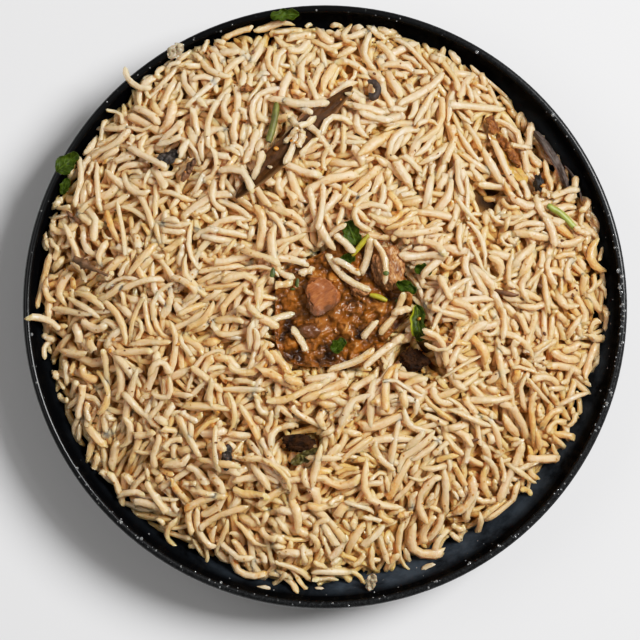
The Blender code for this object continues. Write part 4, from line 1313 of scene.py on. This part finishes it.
def make_bits(field, rng):
    """Seeds, crumbs, flakes of herb and shreds of onion lying on the rice and against the wall."""
    seed = mottled("cumin", 0.5, ((0.3, 0.05, 0.016, 0.004), (0.7, 0.22, 0.09, 0.025)), 700.0, 0.3)
    orange = mottled("orange_crumbs", 0.35, ((0.3, 0.35, 0.10, 0.01), (0.7, 0.75, 0.34, 0.05)), 600.0, 0.3)
    green = mottled("herb_flakes", 0.5, ((0.3, 0.02, 0.035, 0.001), (0.7, 0.09, 0.12, 0.006)), 600.0, 0.2)
    pale = mottled("onion_shreds", 0.35, ((0.3, 0.36, 0.24, 0.12), (0.7, 0.66, 0.54, 0.36)), 400.0, 0.3)
    form = small_form("crumb")

    def lay(name, finish, slot, bits):
        """Bits on top of the field: x, y, half sizes and a turn in degrees."""
        spots = []
        for x, y, size, turn in bits:
            top = float(field.height[field.index(np.array(x * MM), np.array(y * MM))]) / MM
            spots.append(((x, y, top + 0.35 * min(size)), size, math.radians(turn)))
        joined_copies(name, form, spots, finish, slot, rng)

    lay("cumin_seeds", seed, "clove", (
        (62.5, 3.6, (4.6, 0.85, 0.8), -13), (74.9, 6.2, (2.5, 0.8, 0.7), -31),
        (59.5, -40.5, (2.4, 0.8, 0.7), -27), (51.0, -46.9, (2.1, 0.7, 0.7), 14),
        (-88.4, 31.2, (2.4, 0.75, 0.7), -46), (-86.0, 29.4, (2.4, 0.7, 0.7), -40),
    ))
    lay("herb_flakes", green, "coriander", (
        (20.7, 10.0, (1.1, 0.9, 0.3), 20), (-9.5, 7.5, (2.1, 0.7, 0.3), 80),
        (-17.9, 10.3, (2.0, 1.0, 0.3), 75), (-11.0, 5.0, (0.7, 0.5, 0.2), 0),
        (24.5, 1.0, (0.8, 0.5, 0.2), 50),
    ))
    lay("onion_shreds", pale, "soft_onion", (
        (-21, -98, (2.4, 0.9, 0.6), -12), (-2, -98.5, (1.8, 0.8, 0.6), 5), (36, -91, (2.6, 1.2, 0.7), 20),
        (-50.6, 90.2, (1.0, 0.7, 0.4), 30), (-18.8, 46.6, (0.9, 0.7, 0.6), 0),
    ))
    spread = []
    for _ in range(260):
        angle, reach = rng.uniform(-math.pi, math.pi), math.sqrt(rng.uniform(0, 1)) * 92
        size = float(np.clip(rng.lognormal(-1.05, 0.4), 0.15, 0.8))
        x, y = reach * math.cos(angle) - 1, reach * math.sin(angle) + 2
        spread.append((x, y, (size, 0.7 * size, 0.6 * size), rng.uniform(0, 180)))
    lay("dark_crumbs", seed, "dark_spice", spread[:120])
    lay("orange_crumbs", orange, "fried_onion", spread[120:] + [
        (-16.8, 52.9, (0.9, 0.8, 0.6), 0), (75.4, 41.4, (0.9, 0.7, 0.6), 20),
        (-5.8, -34.8, (0.8, 1.2, 0.5), 0),
    ])
    bpy.data.objects.remove(form, do_unlink=True)


# ---------------------------------------------------------------- camera, floor and light
def make_camera():
    """Look down on the plate from the diner's side, from nearly overhead."""
    frame_width, distance, sensor = 222 * MM, 1.0, 36
    elevation = math.radians(87.5)
    data = bpy.data.cameras.new("camera")
    data.sensor_width = sensor
    data.lens = sensor * distance / frame_width
    camera = bpy.data.objects.new("camera", data)
    bpy.context.scene.collection.objects.link(camera)
    back = Vector((0, -math.cos(elevation), math.sin(elevation)))
    camera.location = Vector((-1.75 * MM, -5.1 * MM, RIM_HEIGHT)) + back * distance
    camera.rotation_euler = (-back).to_track_quat("-Z", "Y").to_euler()
    bpy.context.scene.camera = camera


def make_floor():
    """A wide pale table."""
    deselect()
    bpy.ops.mesh.primitive_plane_add(size=4.0)
    floor = named("floor")
    floor.data.materials.append(Surface("floor", 0.6, Base_Color=(0.79, 0.79, 0.80, 1)).mat)


def make_light():
    """A soft lamp high on the right with a small bright one, a weak one at the left, and a pale room."""
    scene = bpy.context.scene
    scene.world = bpy.data.worlds.new("room")
    scene.world.use_nodes = True
    background = scene.world.node_tree.nodes["Background"]
    background.inputs["Color"].default_value = (1.0, 0.975, 0.93, 1)
    background.inputs["Strength"].default_value = 0.10
    for name, direction, away, size, energy in (
        ("key", (0.82, 0.36, 1.04), 1.7, 0.75, 29.5),
        ("glint", (0.46, 0.20, 1.1), 1.7, 0.14, 0.8),
        ("fill", (-0.75, 0.15, 1.0), 2.0, 1.4, 4.8),
    ):
        direction = Vector(direction).normalized()
        data = bpy.data.lights.new(name, "AREA")
        data.shape, data.size, data.energy = "DISK", size, energy
        lamp = bpy.data.objects.new(name, data)
        lamp.location = Vector((0, 0, RIM_HEIGHT)) + direction * away
        lamp.rotation_euler = (-direction).to_track_quat("-Z", "Y").to_euler()
        scene.collection.objects.link(lamp)
    scene.cycles.diffuse_bounces = 10
    view = scene.view_settings
    view.view_transform = "Standard"
    view.use_curve_mapping = True
    tone = view.curve_mapping.curves[3]
    for light, shown in ((0.12, 0.165), (0.22, 0.322), (0.36, 0.502), (0.6, 0.735)):
        tone.points.new(light, shown)
    tone.points[-1].location = (1.0, 0.95)
    view.curve_mapping.update()


# ---------------------------------------------------------------- the whole
CHOSEN = (  # grains over the toppings: both ends in mm, bend, tone, stain
    # round the chunk of chicken
    (0.7, 17.3, 15.1, 4.4, -0.12, 0.12, 0.1), (15.4, 22.2, 12.3, 10.3, 0.05, 0.1, 0),
    (16.8, 21.5, 20.0, 6.5, 0.14, 0.15, 0.1), (3.2, 14.9, 11.6, 10.0, 0.04, 0.02, 0),
    (-16.5, 15.6, -6.0, 13.5, 0.05, 0.05, 0), (-20.3, 15.6, -10.5, 8.6, -0.1, 0.2, 0.2),
    (-2.5, 19.4, 7.0, 26.8, 0.05, 0.2, 0), (-5.3, 39.4, 2.8, 18.4, -0.06, 0.35, 0.2),
    (3.5, 23.3, 9.8, 17.3, 0.03, 0.1, 0), (-16.8, 6.1, -11.6, 7.2, 0, 0.5, 0.8),
    (-8.8, 10.3, -4.2, 11.4, 0, 0.2, 0.1), (-22.4, -11.4, -10.9, -3.7, 0.16, 0.05, 0),
    (-11.2, -8.6, -6.3, -16.6, 0.05, 0.1, 0), (18.6, -10.3, 27.0, 3.3, -0.06, 0.45, 0.1),
    (13.0, -11.7, 17.5, -6.1, 0, 0.1, 0), (22.8, -4.0, 29.1, -1.9, 0.05, 0.3, 0.2),
    (0.7, -22.6, 16.8, -15.9, -0.07, 0.3, 0.75), (13.3, -22.2, 23.5, -13.8, 0.05, 0.1, 0),
    (-17.5, -16.3, -13.0, -24.3, 0.05, 0.55, 0.9),
    # round the bay leaf
    (-21.4, 51.8, -24.6, 43.0, 0.03, 0, 0), (-36.5, 46.0, -24.6, 37.4, 0.26, 0.25, 0),
    (-9.2, 61.0, -13.6, 47.8, 0.04, 0.15, 0), (-1.6, 58.2, 9.6, 62.2, 0.34, 0.3, 0),
    (-19.5, 70.6, -4.2, 65.2, 0.08, 0.25, 0), (-14.6, 69.6, 1.2, 69.4, -0.06, 0.05, 0),
    (8.4, 72.8, 13.2, 69.4, 0, 0.05, 0), (8.6, 68.2, 20.4, 65.8, 0.03, 0.1, 0),
    (12.2, 65.8, 23.0, 63.0, -0.04, 0.2, 0), (-6.2, 61.6, -1.6, 57.6, 0, 0.1, 0),
    (-7.6, 58.6, -9.4, 53.4, 0.05, 0.2, 0), (-12.2, 64.2, -8.2, 58.6, 0, 0.1, 0),
    (-3.8, 63.6, -9.6, 60.2, 0.08, 0.3, 0), (-3.0, 56.4, -8.6, 50.6, -0.05, 0.25, 0),
    (-13.6, 55.6, -9.4, 59.8, 0, 0.2, 0),
    # over the dark hollow at the left
    (-68.2, 54.6, -54.7, 46.7, 0, 0.05, 0), (-58.8, 53.2, -49.4, 62.6, 0.04, 0.05, 0),
    (-58.0, 55.2, -49.7, 58.0, -0.06, 0.2, 0), (-50.2, 50.8, -47.3, 56.4, 0, 0.05, 0),
    (-59.3, 46.6, -54.9, 39.6, 0.05, 0.1, 0),
    # at the right, by the bark and the fried onion
    (58.6, 57.2, 66.6, 40.4, -0.03, 0.2, 0.15), (68.2, 43.2, 70.4, 37.0, 0.1, 0.2, 0),
    (72.2, 64.4, 70.4, 55.0, 0.03, 0.15, 0), (69.4, 56.0, 70.4, 46.4, -0.05, 0.15, 0),
    (73.1, 38.5, 82.6, 28.0, -0.22, 0.2, 0), (87.6, 45.4, 83.8, 36.4, 0.12, 0.25, 0),
    (78.8, 37.8, 88.4, 41.0, 0.04, 0.1, 0), (92.2, 37.8, 89.2, 33.2, 0.15, 0.3, 0),
    (64.4, 56.0, 72.0, 55.0, -0.05, 0.1, 0), (86.6, 27.2, 92.4, 25.0, -0.1, 0.2, 0),
    (76.0, 30.0, 79.0, 20.4, 0.1, 0.2, 0),
    # across the lip, and single stained or curled ones
    (-103.2, -4.2, -92.0, -8.4, 0.12, 0, 0), (-70.2, 82.6, -60.6, 75.4, -0.2, 0.2, 0),
    (-18.6, -16.2, -12.2, -24.6, 0.05, 0.6, 0.9), (-52.5, 9.0, -44.0, 3.4, 0.1, 0.5, 0.9),
    (43.4, 0.8, 52.2, -4.6, 0.1, 0.5, 0.8), (-60.6, -24.4, -52.6, -24.2, 0.55, 0.3, 0.1),
    (-53.0, -25.6, -60.0, -31.0, 0.5, 0.3, 0.1),
)


def main():
    rng = np.random.default_rng(SEED)
    make_groups()
    make_camera()
    make_floor()
    make_light()
    make_plate(glaze_material())
    make_core(core_material())
    toppings = [make_masala(masala_material())] + make_chicken() + make_leaves() + make_spices()
    field = Field()
    for piece in toppings:
        field.keep_clear(piece)
    field.widen_ceiling()
    for gap in KEPT_OPEN:
        field.keep_open(*gap)
    for _ in range(SMALL_GAPS):
        angle, reach = rng.uniform(-math.pi, math.pi), rng.uniform(32, 84)
        x, y = reach * math.cos(angle), reach * math.sin(angle)
        field.keep_open(x, y, rng.uniform(1.0, 2.2), rng.uniform(2.5, 5.0))
    grains = []
    for tries, limit, most, differing in PILES:
        grains += pile_rice(field, rng, tries, limit, most, **differing)
    for piece in toppings:
        field.cover(piece)
    grains += [place_grain(field, *row) for row in CHOSEN]
    for ring in SCATTERED:
        grains += scatter_grains(field, rng, *ring)
    make_drops(rng)
    make_bits(field, rng)
    finish = rice_material()
    for kind in KINDS:
        form = grain_form(kind)
        joined_grains("rice_" + kind, [g for g in grains if g.kind == kind], form, finish, rng)
        bpy.data.objects.remove(form, do_unlink=True)


main()
